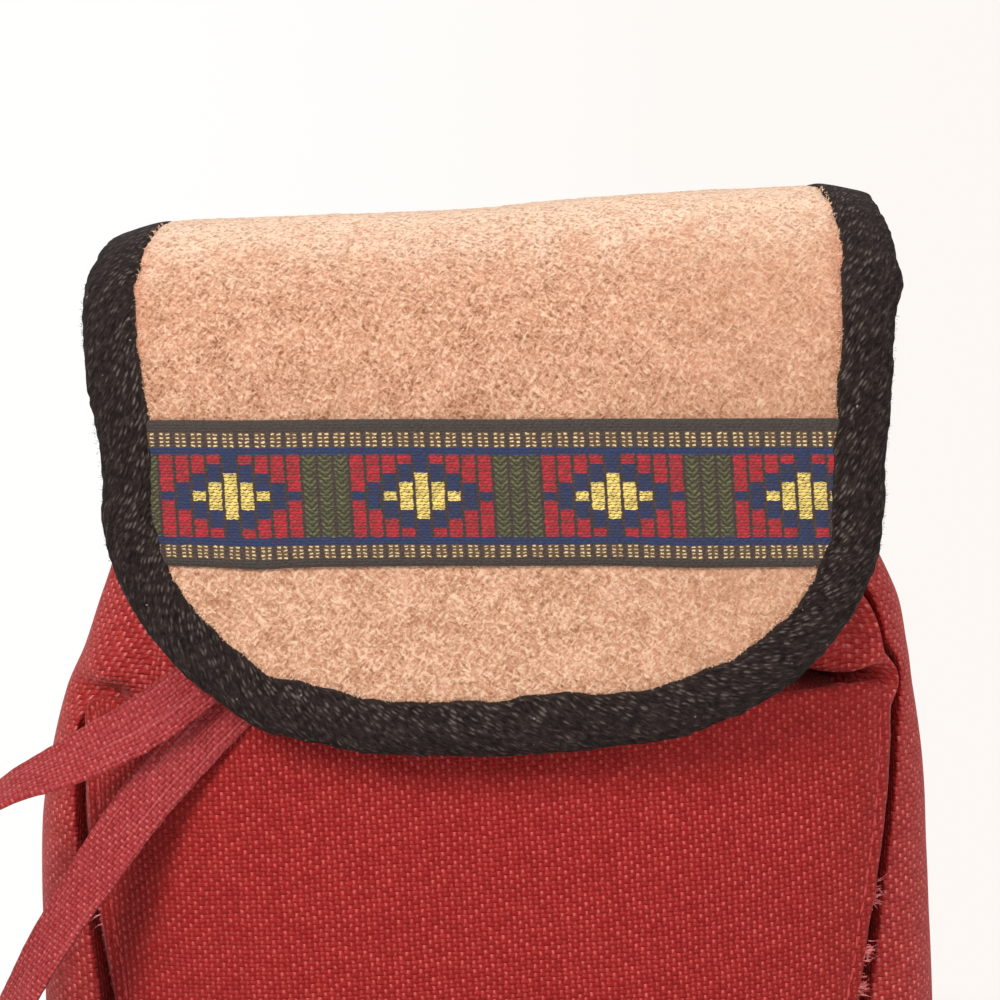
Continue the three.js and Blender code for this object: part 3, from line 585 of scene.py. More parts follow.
def makeSuede():
    look = suedeLook
    material, tree, shader = newMaterial("suede", 0.95, 0.1)
    place, u, v = clothPlace(tree)
    curl = between(abs(speckle(place, 0.7, 2.0, 0.5, 1.8) - 0.5), 0.0, 0.14, 1.0, 0.0)
    right, left = (speckle(stretched(place, *lay), 1.0, 1.5, 0.5, 0.8) for lay in look["fibres"])
    grain = speckle(place, 1.5, 1.5, 0.5, 0.5)
    patch = speckle(place, 0.16, 4.0, 0.6) - 0.5
    height = right.larger(left) * 0.7 + curl * 0.1 + grain * 0.5
    light = between(patch * 0.3 + height, 0.42, 0.95)
    light = light + between(v, look["paleFrom"], look["paleFrom"] + 5, 0.0, 0.1)
    smoother = between(u, 10.0, 50.0, 1.0, 0.75)  # the grain is finer at the right
    # the bend near the seam: paled by rubbing, and painted lighter where it faces the light from above
    rubbedAndLit = between(patch * 40.0 + v, look["creamFull"], look["creamEnd"], 0.58, 0.0)
    # the pits are painted shade among the fibres
    colour = ramp(
        (light - 0.52) * smoother + 0.52 + rubbedAndLit * 0.2,
        (0.0, look["pit"]),
        (0.26, look["shade"]),
        (0.56, look["nap"]),
        (1.0, look["tip"]),
    )
    flush = between(patch, -0.02, 0.2, 0.0, 0.4) * between(grain, 0.3, 0.65, 1.0, 0.25)
    colour = mix(flush, colour, look["flush"])
    colour = mix(rubbedAndLit * between(height, 0.5, 0.8, 0.2, 1.5), colour, look["cream"])
    side = (grain - 0.5) * 8.0 + abs(u)
    tint = between(side, look["edgeAt"], look["edgeAt"] + 4, 0.0, 0.32)
    paint(shader, mix(tint, colour, look["edgeTint"]))
    relief(shader, height, look["depth"])
    addSheen(shader, 0.15, 0.5, srgb(255, 236, 218))
    return material


suede = makeSuede()

braidLook = {
    "tuft": (2.0, 0.7),  # length and width of the room of one tuft of yarn
    "stroke": (1.5, 0.6),
    "fibre": (0.7, 0.3),
    "lean": 60,  # tufts run aslant to the tape
    "rim": 1.6,  # plain strip along the inner edge
    "paintedShade": srgb(16, 11, 10),
    "yarn": srgb(44, 35, 33),
    "litYarn": srgb(62, 53, 50),
    "glint": srgb(96, 86, 80),
    "rimYarn": srgb(50, 38, 33),
    "lint": srgb(128, 118, 108),
    "depth": 1.2,
}


def makeBraid():
    look = braidLook
    material, tree, shader = newMaterial("binding_tape", 0.9, 0.1)
    place, across, _ = clothPlace(tree)
    cells = tree.nodes.new("ShaderNodeTexVoronoi")
    cells.inputs["Scale"].default_value = 1.0
    cells.inputs["Randomness"].default_value = 0.6
    join(tree, stretched(place, look["tuft"], look["lean"]), cells.inputs["Vector"])
    tufts = between(Value(tree, cells.outputs["Distance"]), 0.1, 0.6, 1.0, 0.0)
    tufts = tufts * between(across, 3.0, 7.5, 0.36, 0.2)  # they stand out most along the inner edge
    strokes = speckle(stretched(place, look["stroke"], look["lean"]), 1.0, 2.0, 0.55, 0.7)
    fibres = speckle(stretched(place, look["fibre"], look["lean"]), 1.0, 2.0, 0.6, 0.6)
    clump = speckle(place, 0.3, 3.0, 0.6)
    height = strokes * 0.6 + fibres * 0.25 + tufts
    # colour by height: painted shade in the gaps, painted light and glints on the raised tufts
    colour = ramp(
        between((clump - 0.5) * 0.35 + height, 0.22, 0.86),
        (0.0, look["paintedShade"]),
        (0.4, look["yarn"]),
        (0.7, look["litYarn"]),
        (1.0, look["glint"]),
    )
    colour = mix(between(across, 0.3, look["rim"], 0.7, 0.0), colour, look["rimYarn"])
    paint(shader, mix(between(speckle(place, 0.9, 0.0), 0.83, 0.87), colour, look["lint"]))
    relief(shader, height, look["depth"])
    return material


braid = makeBraid()

ribbonLook = {
    "column": 2.74,  # pitch of the coloured columns
    "columns": 12,  # nine in a diamond and three between
    "firstDiamond": -44.5,
    "row": 1.58,
    "lean": -0.06,  # the columns run a little aslant
    "middle": 13.0,
    "topBorder": 2.2,
    "topDots": 4.85,
    "field": 6.1,
    "fieldEnd": 20.3,
    "lowLine": 21.65,
    "lowDots": 24.0,
    "ground": srgb(40, 28, 25),
    "groundLit": srgb(80, 60, 52),
    "border": srgb(32, 26, 23),
    "borderLit": srgb(68, 56, 50),
    "navy": srgb(22, 42, 84),
    "red": srgb(176, 28, 40),
    "yellow": srgb(238, 208, 112),
    "olive": srgb(48, 48, 26),
    "oliveLit": srgb(100, 98, 58),
    "straw": srgb(228, 206, 158),
    "rust": srgb(92, 66, 38),
    "depth": 0.26,
}


def makeRibbon():
    look = ribbonLook
    material, tree, shader = newMaterial("woven_ribbon", 0.6, 0.35)
    place, u, t = clothPlace(tree)
    t = (speckle(place, 1.4) - 0.5) * 0.6 + t
    u = (speckle(place, 1.1) - 0.5) * 0.6 + u
    u = (t - look["middle"]) * look["lean"] + u

    p = (u - look["firstDiamond"]) / look["column"] + 0.5
    x = abs(p.fract() - 0.5)
    column = (p.floor() + 4.0) % float(look["columns"]) - 4.0
    row = ((t - look["field"]) / look["row"]).floor() - 4.0

    # the diamond: steps counted out from its middle
    steps = abs(row) + abs(column)
    field = mix(steps > 2.5, look["yellow"], look["navy"])
    field = mix(steps > 4.5, field, look["red"])
    rope = abs((t / 1.05 + x * 2.4).fract() - 0.5)
    rope = mix(between(rope, 0.1, 0.4), look["olive"], look["oliveLit"])
    field = mix(column > 4.5, field, rope)

    # short stitches that climb slantwise across a column
    level = t / (look["row"] / 3)
    line = level.floor()
    b = level.fract() - 0.5
    lane = p * 2.6 + line * 0.37
    a = lane.fract() - 0.5
    stitch = (a * math.pi).cosine() * (b * math.pi).cosine()
    tone = perStitch(lane.floor(), line)
    grain = speckle(stretched(place, (0.33, 0.2)), 1.0, 3.0, 0.65)
    ground = mix(between(grain, 0.35, 0.7), look["ground"], look["groundLit"])
    field = mix(between((grain - 0.5) * 0.12 + x, 0.36, 0.43), field, ground)
    sunk = tone * 0.45 + between(abs(a) * abs(b), 0.06, 0.15, 0.0, 0.95)
    sunk = sunk * between(grain, 0.3, 0.65, 0.6, 1.1)
    field = mix(sunk, field, look["ground"])

    # dotted bands: two dashes to a column in four rows
    def dots(start, end):
        dash = abs(x - 0.2)
        level = abs(((t - start) / ((end - start) / 4)).fract() - 0.5)
        on = between(dash, 0.07, 0.14, 1.0, 0.0) * between(level, 0.1, 0.26, 1.0, 0.0)
        under = mix(between(x, 0.32, 0.38, 1.0, 0.0) * 0.7, ground, look["rust"])
        return mix(on * between(grain, 0.3, 0.6, 0.45, 1.0), under, look["straw"])

    lineThread = mix(sunk * 0.7, look["navy"], look["ground"])
    borderThread = mix(between(grain, 0.3, 0.7), look["border"], look["borderLit"])
    colour = borderThread
    for start, band in (
        (look["topBorder"], dots(look["topBorder"], look["topDots"])),
        (look["topDots"], lineThread),
        (look["field"], field),
        (look["fieldEnd"], lineThread),
        (look["lowLine"], dots(look["lowLine"], look["lowDots"])),
        (look["lowDots"], borderThread),
    ):
        colour = mix(t > start, colour, band)
    paint(shader, colour)
    crown = x ** 2.0 * -4.0 + 1.0
    relief(shader, grain * 0.6 + stitch * 0.6 + crown * 0.6, look["depth"])
    return material


ribbonWeave = makeRibbon()

webbingLook = {
    "pitchAcross": 1.3,
    "pitchAlong": 0.8,
    "paintedShade": srgb(92, 12, 14),
    "dull": srgb(138, 32, 32),
    "bright": srgb(176, 54, 52),
    "depth": 0.22,
}


def makeWebbing():
    look = webbingLook
    material, tree, shader = newMaterial("webbing", 0.6, 0.35)
    place, across, along = clothPlace(tree)
    height, under, _, tone = plainWeave(across, along, look["pitchAcross"], look["pitchAlong"])
    fibres = speckle(place, 5.0, 3.0, 0.7)
    thread = mix(tone * 0.5 + fibres * 0.4, look["dull"], look["bright"])
    # painted shade under the threads
    paint(shader, mix(under * 0.8, thread, look["paintedShade"]))
    relief(shader, fibres * 0.2 + height, look["depth"])
    return material


webbing = makeWebbing()


def makePlain(name, colours, roughness, specular, scale, depth, metallic=0.0):
    # moulded, plated or spun finish: two close colours, mottled, with a fine grain
    material, tree, shader = newMaterial(name, roughness, specular)
    where = objectPlace(tree)
    mottle = speckle(where, scale, 3.0, 0.6)
    paint(shader, mix(between(mottle, 0.3, 0.7), *(srgb(*colour) for colour in colours)))
    rough = between(mottle, 0.3, 0.7, roughness - 0.06, roughness + 0.08)
    join(tree, rough, shader.inputs["Roughness"])
    shader.inputs["Metallic"].default_value = metallic
    relief(shader, speckle(where, scale * 4), depth)
    return material


blackPlastic = makePlain("black_plastic", ((24, 23, 23), (34, 33, 33)), 0.42, 0.5, 600.0, 0.02)
platedSteel = makePlain("plated_steel", ((186, 182, 174), (150, 146, 138)), 0.28, 0.5, 350.0, 0.015, 1.0)
redThread = makePlain("red_thread", ((150, 38, 38), (188, 66, 64)), 0.6, 0.3, 1500.0, 0.06)
blackHair = makePlain("binding_fuzz", ((40, 33, 31), (84, 74, 70)), 0.7, 0.25, 900.0, 0.01)
peachHair = makePlain("suede_fuzz", ((222, 172, 138), (248, 214, 184)), 0.8, 0.2, 900.0, 0.01)
frayHair = makePlain("frayed_thread", ((206, 92, 92), (236, 150, 148)), 0.7, 0.25, 900.0, 0.01)
print("finishes ready")


# Drawstring tails, flat ties that hang free at the left

tieSize = {
    "width": 9.5,
    "thickness": 1.6,
    "creaseAt": -2.9,  # where the folded cloth lies over, from the middle
    "steps": 150,
    "round": 28,
}
upperTail = {
    "points": [
        (-8.5, -26.5, 183), (-4.5, -27.8, 183), (-2, -31, 182.5), (-5, -34.5, 181.5),
        (-12, -37.5, 177.5), (-22, -42.5, 167), (-33, -47.8, 150), (-46, -49.8, 134),
        (-60, -50.6, 122.8), (-73, -50.8, 115.8), (-85, -51, 110.2), (-95, -50.5, 101),
        (-100, -49, 86), (-102, -48, 66), (-102, -47, 46), (-101, -46, 30),
    ],
    "facings": [
        (0, -1, 0), (-0.7, -0.7, 0), (-0.2, 1, 0.2), (0, 1, 0), (0.05, 0.86, -0.45), (0.2, 0.2, -0.95),
        (0.6, 0.3, -0.6), (0.8, 0.6, 0), (0.8, 0.6, 0),
    ],
}
lowerTail = {
    "points": [
        (8, -26.5, 183), (5.3, -28.2, 182), (2.8, -32.5, 176.5), (-1.5, -38, 169),
        (-8.5, -42.5, 159.7), (-20, -45.5, 148), (-33, -46.8, 137), (-46.5, -47, 124),
        (-60, -48.2, 109), (-71, -49.5, 93.5), (-80, -50, 79), (-88, -50, 62),
        (-93, -49, 44), (-95, -48, 26),
    ],
    "facings": [
        (0, -1, 0.2), (0, -1, 0.3), (0, -1, 0.2), (-0.05, -1, 0), (-0.45, -0.75, 0.35),
        (-0.75, -0.45, 0.5), (-0.8, -0.3, 0.3),
    ],
}


def makeTail(name, look, seed):
    route = Route(look["points"])
    facing = Route(look["facings"])

    def place(s, t):
        across, rise, flat = tapeSection(s, tieSize["width"], tieSize["thickness"], 0.45, 0.6)
        heading = route.heading(t)
        side = heading.cross(facing.at(t)).normalized()
        length = t * route.length
        slack = 1 + 0.06 * ripple(length, seed, 14.0)
        slack += 0.05 * ripple(length, seed + math.copysign(2, across), 2.2)
        cup = 0.35 * ripple(length, 3.0, 22.0, seed) * (1 - (2 * across / tieSize["width"]) ** 2)
        crease = -0.22 * hump(across, tieSize["creaseAt"], 0.35) * (1 if rise > 0 else -1)
        point = route.along(t) + side * across * slack + side.cross(heading) * (rise + cup + crease)
        return point, (length, flat)

    piece = layGrid(name, tieSize["round"], tieSize["steps"], place)
    closeUp(piece, caps=True)
    finishPiece(piece, tieCloth, "bag", "tie_cloth", name, angle=60)
    steps = [route.along(k / tieSize["steps"]) * mm for k in range(tieSize["steps"] + 1)]
    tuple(steps[0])
    print(f"{name}: {route.length:.0f} mm long")


makeTail("drawstring_tail_upper", upperTail, 1.7)
makeTail("drawstring_tail_lower", lowerTail, 6.3)


# Sack: bottom, front, back and two gussets

sack = {
    "heights": (0, 14, 72, 122, 165),
    "halfWidths": (71, 79.5, 83, 80, 66),
    "frontDepths": (31, 36, 40, 38, 30),
    "backDepths": (32, 35.5, 36.5, 36, 34),
    "frontSquareness": 3.2,
    "backSquareness": 5,
    "wall": 1.3,
    "seamDepth": 1.0,  # how far the cloth is pulled in at a seam
    "seamWidth": 3.0,
    "baseWall": 1.4,
    "foot": 1.8,  # height where the sides leave the base
}
sackHalfWidth = through(list(zip(sack["heights"], sack["halfWidths"])))
sackFrontDepth = through(list(zip(sack["heights"], sack["frontDepths"])))
sackBackDepth = through(list(zip(sack["heights"], sack["backDepths"])))
sackTop = sack["heights"][-1]
beltHeight, beltHalfWidth = sack["heights"][2], sack["halfWidths"][2]  # where it is widest


def squarenessAt(shareY):
    return sack["frontSquareness" if shareY < 0 else "backSquareness"]


def sackDepth(shareY, z):
    return (sackFrontDepth if shareY < 0 else sackBackDepth)(z)


def cornerShare(squareness):
    return 0.5 ** (1 / squareness)


def evenShares(points):
    # given a line, tells which share of the list lies at an even share of the line's length
    lengths = runningLengths(points)

    def shareAt(s):
        return sum(partAt(lengths, s * lengths[-1])) / (len(points) - 1)

    return shareAt, lengths[-1]


def sackPoint(shareX, shareY, z, lift):
    # a point of the sack's oval, lifted off it by a distance
    depth, width = sackDepth(shareY, z), sackHalfWidth(z)
    power = squarenessAt(shareY) - 1
    out = Vector((signedPower(shareX, power) / width, signedPower(shareY, power) / depth, 0)).normalized()
    return Vector((shareX * width, shareY * depth, z)) + out * lift


def slackCloth(x, z, seed):
    # the cloth's own unevenness: soft dents, and gathers that run down from the collar seam
    dents = 0.7 * ripple(x, z * 0.8, 34.0, seed) + 0.3 * ripple(x, z, 13.0, seed + 5)
    pull = smooth(z, 128, 154) * (1 - 0.5 * smooth(z, 156, sackTop))
    gathers = pull * 1.5 * math.sin(x / 3.4 + 1.3 * ripple(x, z, 30.0, seed + 9))
    return dents * smooth(z, 2, 20) + gathers * (0.6 + 0.8 * ripple(x, 4.0, 16.0, seed))


pocket = {
    "top": 125.7,
    "bottom": 17,
    "topHalfWidth": 72.6,
    "bottomHalfWidth": 62,
    "bulge": 9,
    "standOff": 0.9,
    "wall": 1.4,
    "edgeRound": 1.1,  # radius of the turned edge
    "turnUnder": 5.0,
    "cornerRound": 5.0,
    "offGrain": 3.8,
    "tilt": 1.45,  # rise of the top edge, at the next distance to the right
    "tiltReach": 66,
    "sheet": 0.5,  # one layer of its cloth
    "cloth": (0.150, 0.121),  # flat size in metres
    "stitchInset": 2.7,
    "stitchStep": 3.1,
}
pocketHalfWidth = through([
    (pocket["bottom"], pocket["bottomHalfWidth"]),
    (pocket["top"], pocket["topHalfWidth"]),
])


# how far each side stands off its drafted line, since the filled bag leans a little
leanLeft = through([
    (20, 0), (60, 0.6), (96, 1.0), (111, 0.0), (122, -1.1), (130, -2.2), (141, -1.4), (sackTop, 0),
])
leanRight = through([
    (20, 0), (60, -0.3), (96, -1.4), (122, -1.4), (130, -0.3), (141, 1.9), (sackTop, 0),
])
foldLine = through([
    (100, 70.5), (116, 71), (124, 71), (128.4, 70), (133, 66.6), (140, 63.5), (150, 58.5),
])
folds = {
    "puff": 3.6,  # how far the front stands out along the fold at the right
    "lean": 2.0,
    "crease": 6.5,  # depth of the crease behind that fold
    "mouthLeft": -72.5,  # where the hollows at the ends of the pocket's mouth lie
    "mouthRight": 62,
    "hollowLeft": 5.5,
    "hollowRight": 15.0,
    "overhangLeft": 0.6,
    "overhangRight": 3.6,
    "groove": 6.5,  # depth of the gap beside the pocket
    "grooveEndLeft": 114,
    "grooveEndRight": 122,
    "grooveFade": 8,
}
# closer rows where the folds are
rowHeight = through([(0, sack["foot"]), (0.35, 100), (0.8, 145), (1, sackTop)])


def seamShare(distance):
    return hump(distance, 0, sack["seamWidth"])


def endPull(z):
    return -sack["seamDepth"] * (seamShare((z - sack["foot"]) * 1.2) + 0.6 * seamShare(sackTop - z))


def seamLift(hand, z):
    lean = leanLeft(z) if hand < 0 else leanRight(z)
    return 0.6 * lean - sack["seamDepth"]


def pocketSide(z, hand):
    # cut a little wide at the left and drawn out at the right
    return pocketHalfWidth(z) + (1.3 if hand < 0 else 0.5 * hump(z, 110, 14))


def pocketEdge(z, hand):
    return pocketSide(z, hand) + 0.3 * ripple(z, hand, 6.0, 25.0) + 0.15 * ripple(z, hand, 2.2, 26.0)


def foldRight(point):
    # the front puffs out and folds over the gusset below the right end of the flap: outward, sideways, back
    apart = foldLine(point.z) - point.x
    depth = smooth(point.z, 113, 129) * (1 - smooth(point.z, 152, sackTop)) * smooth(-point.y, -5, 12)
    puff = folds["puff"] * hump(apart, 0, 9 if apart > 0 else 1.6)
    lean = folds["lean"] * hump(apart, 0.8, 4.0 if apart > 0.8 else 1.6)
    crease = folds["crease"] * hump(apart, -3.5, 1.05)
    return depth * puff, Vector((depth * lean, depth * crease, 0))


def pocketMouth(point):
    # the cloth hangs over a hollow at both ends of the pocket's mouth: outward and downward
    x, z = point.x, point.z
    front = smooth(-point.y, 10, 25)
    middle = folds["mouthRight"]
    right = hump(x, middle, 9 if x < middle else 4.2) * front
    left = hump(x, folds["mouthLeft"], 6) * front
    out = right * (2.0 * hump(z, 134, 4) - folds["hollowRight"] * hump(z, 128.0, 2.1))
    out += left * (1.5 * hump(z, 129, 4) - folds["hollowLeft"] * hump(z, 122.8, 2.8))
    drop = right * folds["overhangRight"] * hump(z, 132.5, 2.6)
    drop += left * folds["overhangLeft"] * hump(z, 126.5, 2.5)
    return out, Vector((0, 0, -drop))


def besidePocket(point):
    # the cloth sinks back where the pocket's sides are sewn down to it
    apart = abs(point.x) - pocketSide(point.z, point.x)
    end = folds["grooveEndRight" if point.x > 0 else "grooveEndLeft"]
    below = 1 - smooth(point.z, end, end + folds["grooveFade"])
    below *= smooth(-point.y, 0, 10) * smooth(point.z, 6, 30)
    return Vector((0, folds["groove"] * hump(apart, 1.0, 0.85) * below, 0))


def settled(shareX, shareY, z, lift):
    # a point of the filled sack, with its fold and hollows
    flush = sackPoint(shareX, shareY, z, 0)
    puff, folded = foldRight(flush)
    hollow, hung = pocketMouth(flush)
    return sackPoint(shareX, shareY, z, lift + puff + hollow) + folded + hung + besidePocket(flush)


def broadPanel(name, front):
    hand = -1 if front else 1
    squareness = squarenessAt(hand)
    edge = cornerShare(squareness)
    depth = sackDepth(hand, beltHeight)
    count = 200
    line = [edge * (2 * k / count - 1) for k in range(count + 1)]
    shareAt, width = evenShares([(beltHalfWidth * a, depth * ovalShare(a, squareness)) for a in line])
    seed = 2.0 if front else 7.0

    def place(s, t):
        s -= 0.6 * math.sin(2 * math.pi * s) / (2 * math.pi)  # closer columns towards the seams
        z = rowHeight(t)
        shareX = edge * (2 * shareAt(s) - 1)
        shareY = ovalShare(shareX, squareness) * hand
        flat = (s - 0.5) * width * sackHalfWidth(z) / beltHalfWidth
        seam = seamShare(min(s, 1 - s) * width)
        lift = slackCloth(flat, z, seed) * (1 - seam) + seamLift(2 * s - 1, z) * seam + endPull(z)
        return (settled if front else sackPoint)(shareX, shareY, z, lift), (flat, z)

    piece = layGrid(name, *((140, 170) if front else (70, 90)), place, 0.5, True)
    finishCloth(piece, (0, hand, 0), sack["wall"], litBodyCloth, "bag", "red_cloth", name)
    width * mm


def gusset(name, hand):
    edgeFront = cornerShare(sack["frontSquareness"])
    edgeBack = cornerShare(sack["backSquareness"])
    count = 200
    line = [-edgeFront + (edgeFront + edgeBack) * k / count for k in range(count + 1)]

    def across(shareY):
        return ovalShare(shareY, squarenessAt(shareY))

    shareAt, width = evenShares([(beltHalfWidth * across(b), b * sackDepth(b, beltHeight)) for b in line])
    seed = 12.0 + hand
    lean = leanLeft if hand < 0 else leanRight

    def place(s, t):
        s **= 1.5  # closer columns towards the front, where the folds are
        z = rowHeight(t)
        shareY = -edgeFront + (edgeFront + edgeBack) * shareAt(s)
        shareX = hand * across(shareY)
        flat = s * width
        seam = seamShare(min(s, 1 - s) * width)
        lift = (0.5 * slackCloth(flat, z, seed) + lean(z)) * (1 - seam)
        lift += seamLift(hand, z) * seam + endPull(z)
        point = settled(shareX, shareY, z, lift)
        return point, (flat, point.z)

    piece = layGrid(name, 190, 160, place, 1.0)
    finishCloth(piece, (hand, 0, 0), sack["wall"], litBodyCloth, "bag", "red_cloth", name)
    width * mm


def bottomPanel(name):
    def place(s, t):
        a, b = 2 * s - 1, 2 * t - 1
        reach = max(abs(a), abs(b))
        dx, dy = (a / reach, b / reach) if reach else (1, 0)
        squareness = squarenessAt(dy)
        size = (abs(dx) ** squareness + abs(dy) ** squareness) ** (-1 / squareness)
        x, y = dx * size * reach * sack["halfWidths"][0], dy * size * reach * sackDepth(dy, 0)
        rim = smooth(reach, 0.93, 1.0)
        return Vector((x, y, 0.02 + 0.25 * rim)), (x, y)

    piece = layGrid(name, 60, 40, place)
    finishCloth(piece, (0, 0, -1), sack["baseWall"], bagCloth, "bag", "red_cloth", name)


broadPanel("front_panel", True)
broadPanel("back_panel", False)
gusset("left_gusset", -1)
gusset("right_gusset", 1)
bottomPanel("bottom_panel")
print("sack laid out")


# Gathered collar, its casing and the drawstring inside

collar = {
    "bottom": 165.3,
    "neck": 183,
    "mouth": 199,
    "neckHalfWidth": 50,
    "neckFrontDepth": 24,
    "neckBackDepth": 25,
    "flare": 3,
    "neckSquareness": 2.2,
    "pleats": 16,
    "pleatDepth": 2.2,
    "wall": 1.1,
    "casingHeight": 11.5,
    "casingMouth": 24,
    "tieOffset": 0.6,
    "casingOffset": 2.8,
    "casingWall": 1.0,
    "tieWall": 1.5,
    "fullness": 1.75,  # cloth across the gathers, as a share of the seam
    "clothWidth": 0.36,  # flat width in metres
}


def collarCurve(atSeam, atNeck):
    return through([
        (collar["bottom"], atSeam),
        (collar["neck"], atNeck),
        (collar["mouth"], atNeck + collar["flare"]),
    ])


collarHalfWidth = collarCurve(sack["halfWidths"][-1], collar["neckHalfWidth"])
collarFront = collarCurve(sack["frontDepths"][-1], collar["neckFrontDepth"])
collarBack = collarCurve(sack["backDepths"][-1], collar["neckBackDepth"])
collarFrontSquareness = through([
    (collar["bottom"], sack["frontSquareness"]),
    (collar["neck"], collar["neckSquareness"]),
])
collarBackSquareness = through([
    (collar["bottom"], sack["backSquareness"]),
    (collar["neck"], collar["neckSquareness"]),
])
gathering = through([(collar["bottom"], 0.25), (collar["neck"], 1.0)])
collarLines = {}


def collarLine(z):
    # the collar's line at a height, with its lengths, starting at the middle of the front
    key = round(z, 3)
    if key not in collarLines:
        points = []
        for k in range(361):
            turn = -math.pi / 2 + 2 * math.pi * k / 360
            c, s = math.cos(turn), math.sin(turn)
            power = 2 / (collarFrontSquareness(z) if s < 0 else collarBackSquareness(z))
            depth = collarFront(z) if s < 0 else collarBack(z)
            x, y = collarHalfWidth(z) * signedPower(c, power), depth * signedPower(s, power)
            points.append(Vector((x, y, z)))
        collarLines[key] = (points, runningLengths(points))
    return collarLines[key]


def gatheredPoint(share, z, offset):
    points, lengths = collarLine(z)
    k, f = partAt(lengths, (share % 1.0) * lengths[-1])
    at = points[k].lerp(points[k + 1], f)
    along = (points[k + 1] - points[k]).normalized()
    out = Vector((along.y, -along.x, 0))
    waves = 2 * math.pi * collar["pleats"]
    depth = collar["pleatDepth"] * gathering(z)
    depth *= 1 + 0.25 * noise.noise(Vector((share * 22, z / 40, 2.0)))
    wave = depth * math.cos(waves * share)
    swing = -depth * waves * math.sin(waves * share) / lengths[-1]
    normal = (out - along * swing).normalized()
    return at + out * wave + normal * offset


def makeCollar():
    girth = 2 * (sack["halfWidths"][-1] + sack["frontDepths"][-1]) * collar["fullness"]
    rise = collar["mouth"] - collar["bottom"]

    def place(s, t):
        z = collar["bottom"] + rise * t
        lip = 0.9 * smooth(t, 0.93, 1.0)  # rolled edge at the mouth
        creases = 0.25 * ripple(s * girth, z, 5.0, 3.0)
        return gatheredPoint(s, z, creases - lip), (s * girth, z)

    piece = layGrid("gathered_collar", 384, 40, place)
    closeUp(piece)
    thicken(piece, collar["wall"])
    finishPiece(piece, bagCloth, "bag", "red_cloth", "gathered_collar")


def collarStrip(name, height, opening, offset, wall, material, slotName):
    length = collarLine(collar["neck"])[1][-1]
    margin = opening / 2 / length

    def place(s, t):
        share = margin + (1 - 2 * margin) * s
        z = collar["neck"] + height * (t - 0.5)
        edge = 0.5 * (2 * t - 1) ** 6
        return gatheredPoint(share, z, offset + wall - edge), (z, share * length * 1.4)

    piece = layGrid(name, 360, 10, place)
    finishCloth(piece, (0, -1, 0), wall, material, "bag", slotName, name)


makeCollar()
tieOpening = collar["casingMouth"] - 2
collarStrip(
    "drawstring", tieSize["width"], tieOpening, collar["tieOffset"], collar["tieWall"], tieCloth, "tie_cloth",
)
collarStrip(
    "drawstring_casing", collar["casingHeight"], collar["casingMouth"], collar["casingOffset"],
    collar["casingWall"], bagCloth, "red_cloth",
)
print("collar gathered")


# Patch pocket with turned edges

def frontOfSack(x, z):
    return -sackFrontDepth(z) * ovalShare(x / sackHalfWidth(z), sack["frontSquareness"])


def pocketFace(x, z):
    across = 1 - min(1.0, abs(x / pocketHalfWidth(z))) ** 4
    up = 1 - ((pocket["top"] - z) / (pocket["top"] - pocket["bottom"])) ** 3
    standOff = pocket["standOff"] + pocket["bulge"] * across * up
    return frontOfSack(x, z) - standOff - pocket["wall"]


def pocketOut(x, z):
    step = 0.5
    slopeX = (pocketFace(x + step, z) - pocketFace(x - step, z)) / (2 * step)
    slopeZ = (pocketFace(x, z + step) - pocketFace(x, z - step)) / (2 * step)
    return Vector((slopeX, -1, slopeZ)).normalized()


def turned(distance, edge):
    # place along the face and depth behind it, for a cloth that turns under at its edge
    radius = pocket["edgeRound"]
    flat = edge - radius
    if distance <= flat:
        return distance, 0.0
    bend = (distance - flat) / radius
    if bend <= math.pi:
        return flat + radius * math.sin(bend), radius * (1 - math.cos(bend))
    return flat - (bend - math.pi) * radius, 2 * radius


def pocketWidthAt(z, hand):
    cut = 0.0
    for gap in (pocket["top"] - z, z - pocket["bottom"]):
        if gap < pocket["cornerRound"]:
            over = 1 - max(gap, 0) / pocket["cornerRound"]
            cut += pocket["cornerRound"] * (1 - math.sqrt(max(0, 1 - over * over)))
    return pocketEdge(z, hand) - cut


def pocketPoint(x, z, lift):
    return Vector((x, pocketFace(x, z), z)) + pocketOut(x, z) * lift


def pocketSlack(x, z):
    soft = 0.7 * ripple(x, z, 30.0, 21.0) + 0.25 * ripple(x, z, 11.0, 23.0)
    groove = 0.28 * hump(pocketEdge(z, x) - abs(x), pocket["stitchInset"], 0.7)
    rim = 0.35 * hump(pocket["top"] - z, 1.5, 1.6)
    return soft - groove + rim


def makePocket():
    height = pocket["top"] - pocket["bottom"]
    extra = pocket["turnUnder"] + math.pi * pocket["edgeRound"]
    onGrain = math.cos(math.radians(pocket["offGrain"]))
    offGrain = math.sin(math.radians(pocket["offGrain"]))

    def place(s, t):
        down = (1 - t) * (height + extra) - extra  # the first stretch is turned in at the top
        zFlat, depthTop = turned(-down + height, height)
        z = pocket["bottom"] + zFlat
        edge = pocketWidthAt(z, s - 0.5)
        a = (2 * s - 1) * (edge + extra)
        xFlat, depthSide = turned(abs(a), edge)
        x = math.copysign(xFlat, a)
        lift = pocketSlack(x, z) - min(depthSide + depthTop, 2 * pocket["edgeRound"])
        up = pocket["top"] - down
        z += pocket["tilt"] * x / pocket["tiltReach"] * (zFlat / height) ** 2
        return pocketPoint(x, z, lift), (a * onGrain + up * offGrain, up * onGrain - a * offGrain)

    piece = layGrid("pocket_panel", 190, 150, place)
    finishCloth(piece, (0, -1, 0), pocket["sheet"], bagCloth, "bag", "red_cloth", "pocket_panel")


makePocket()


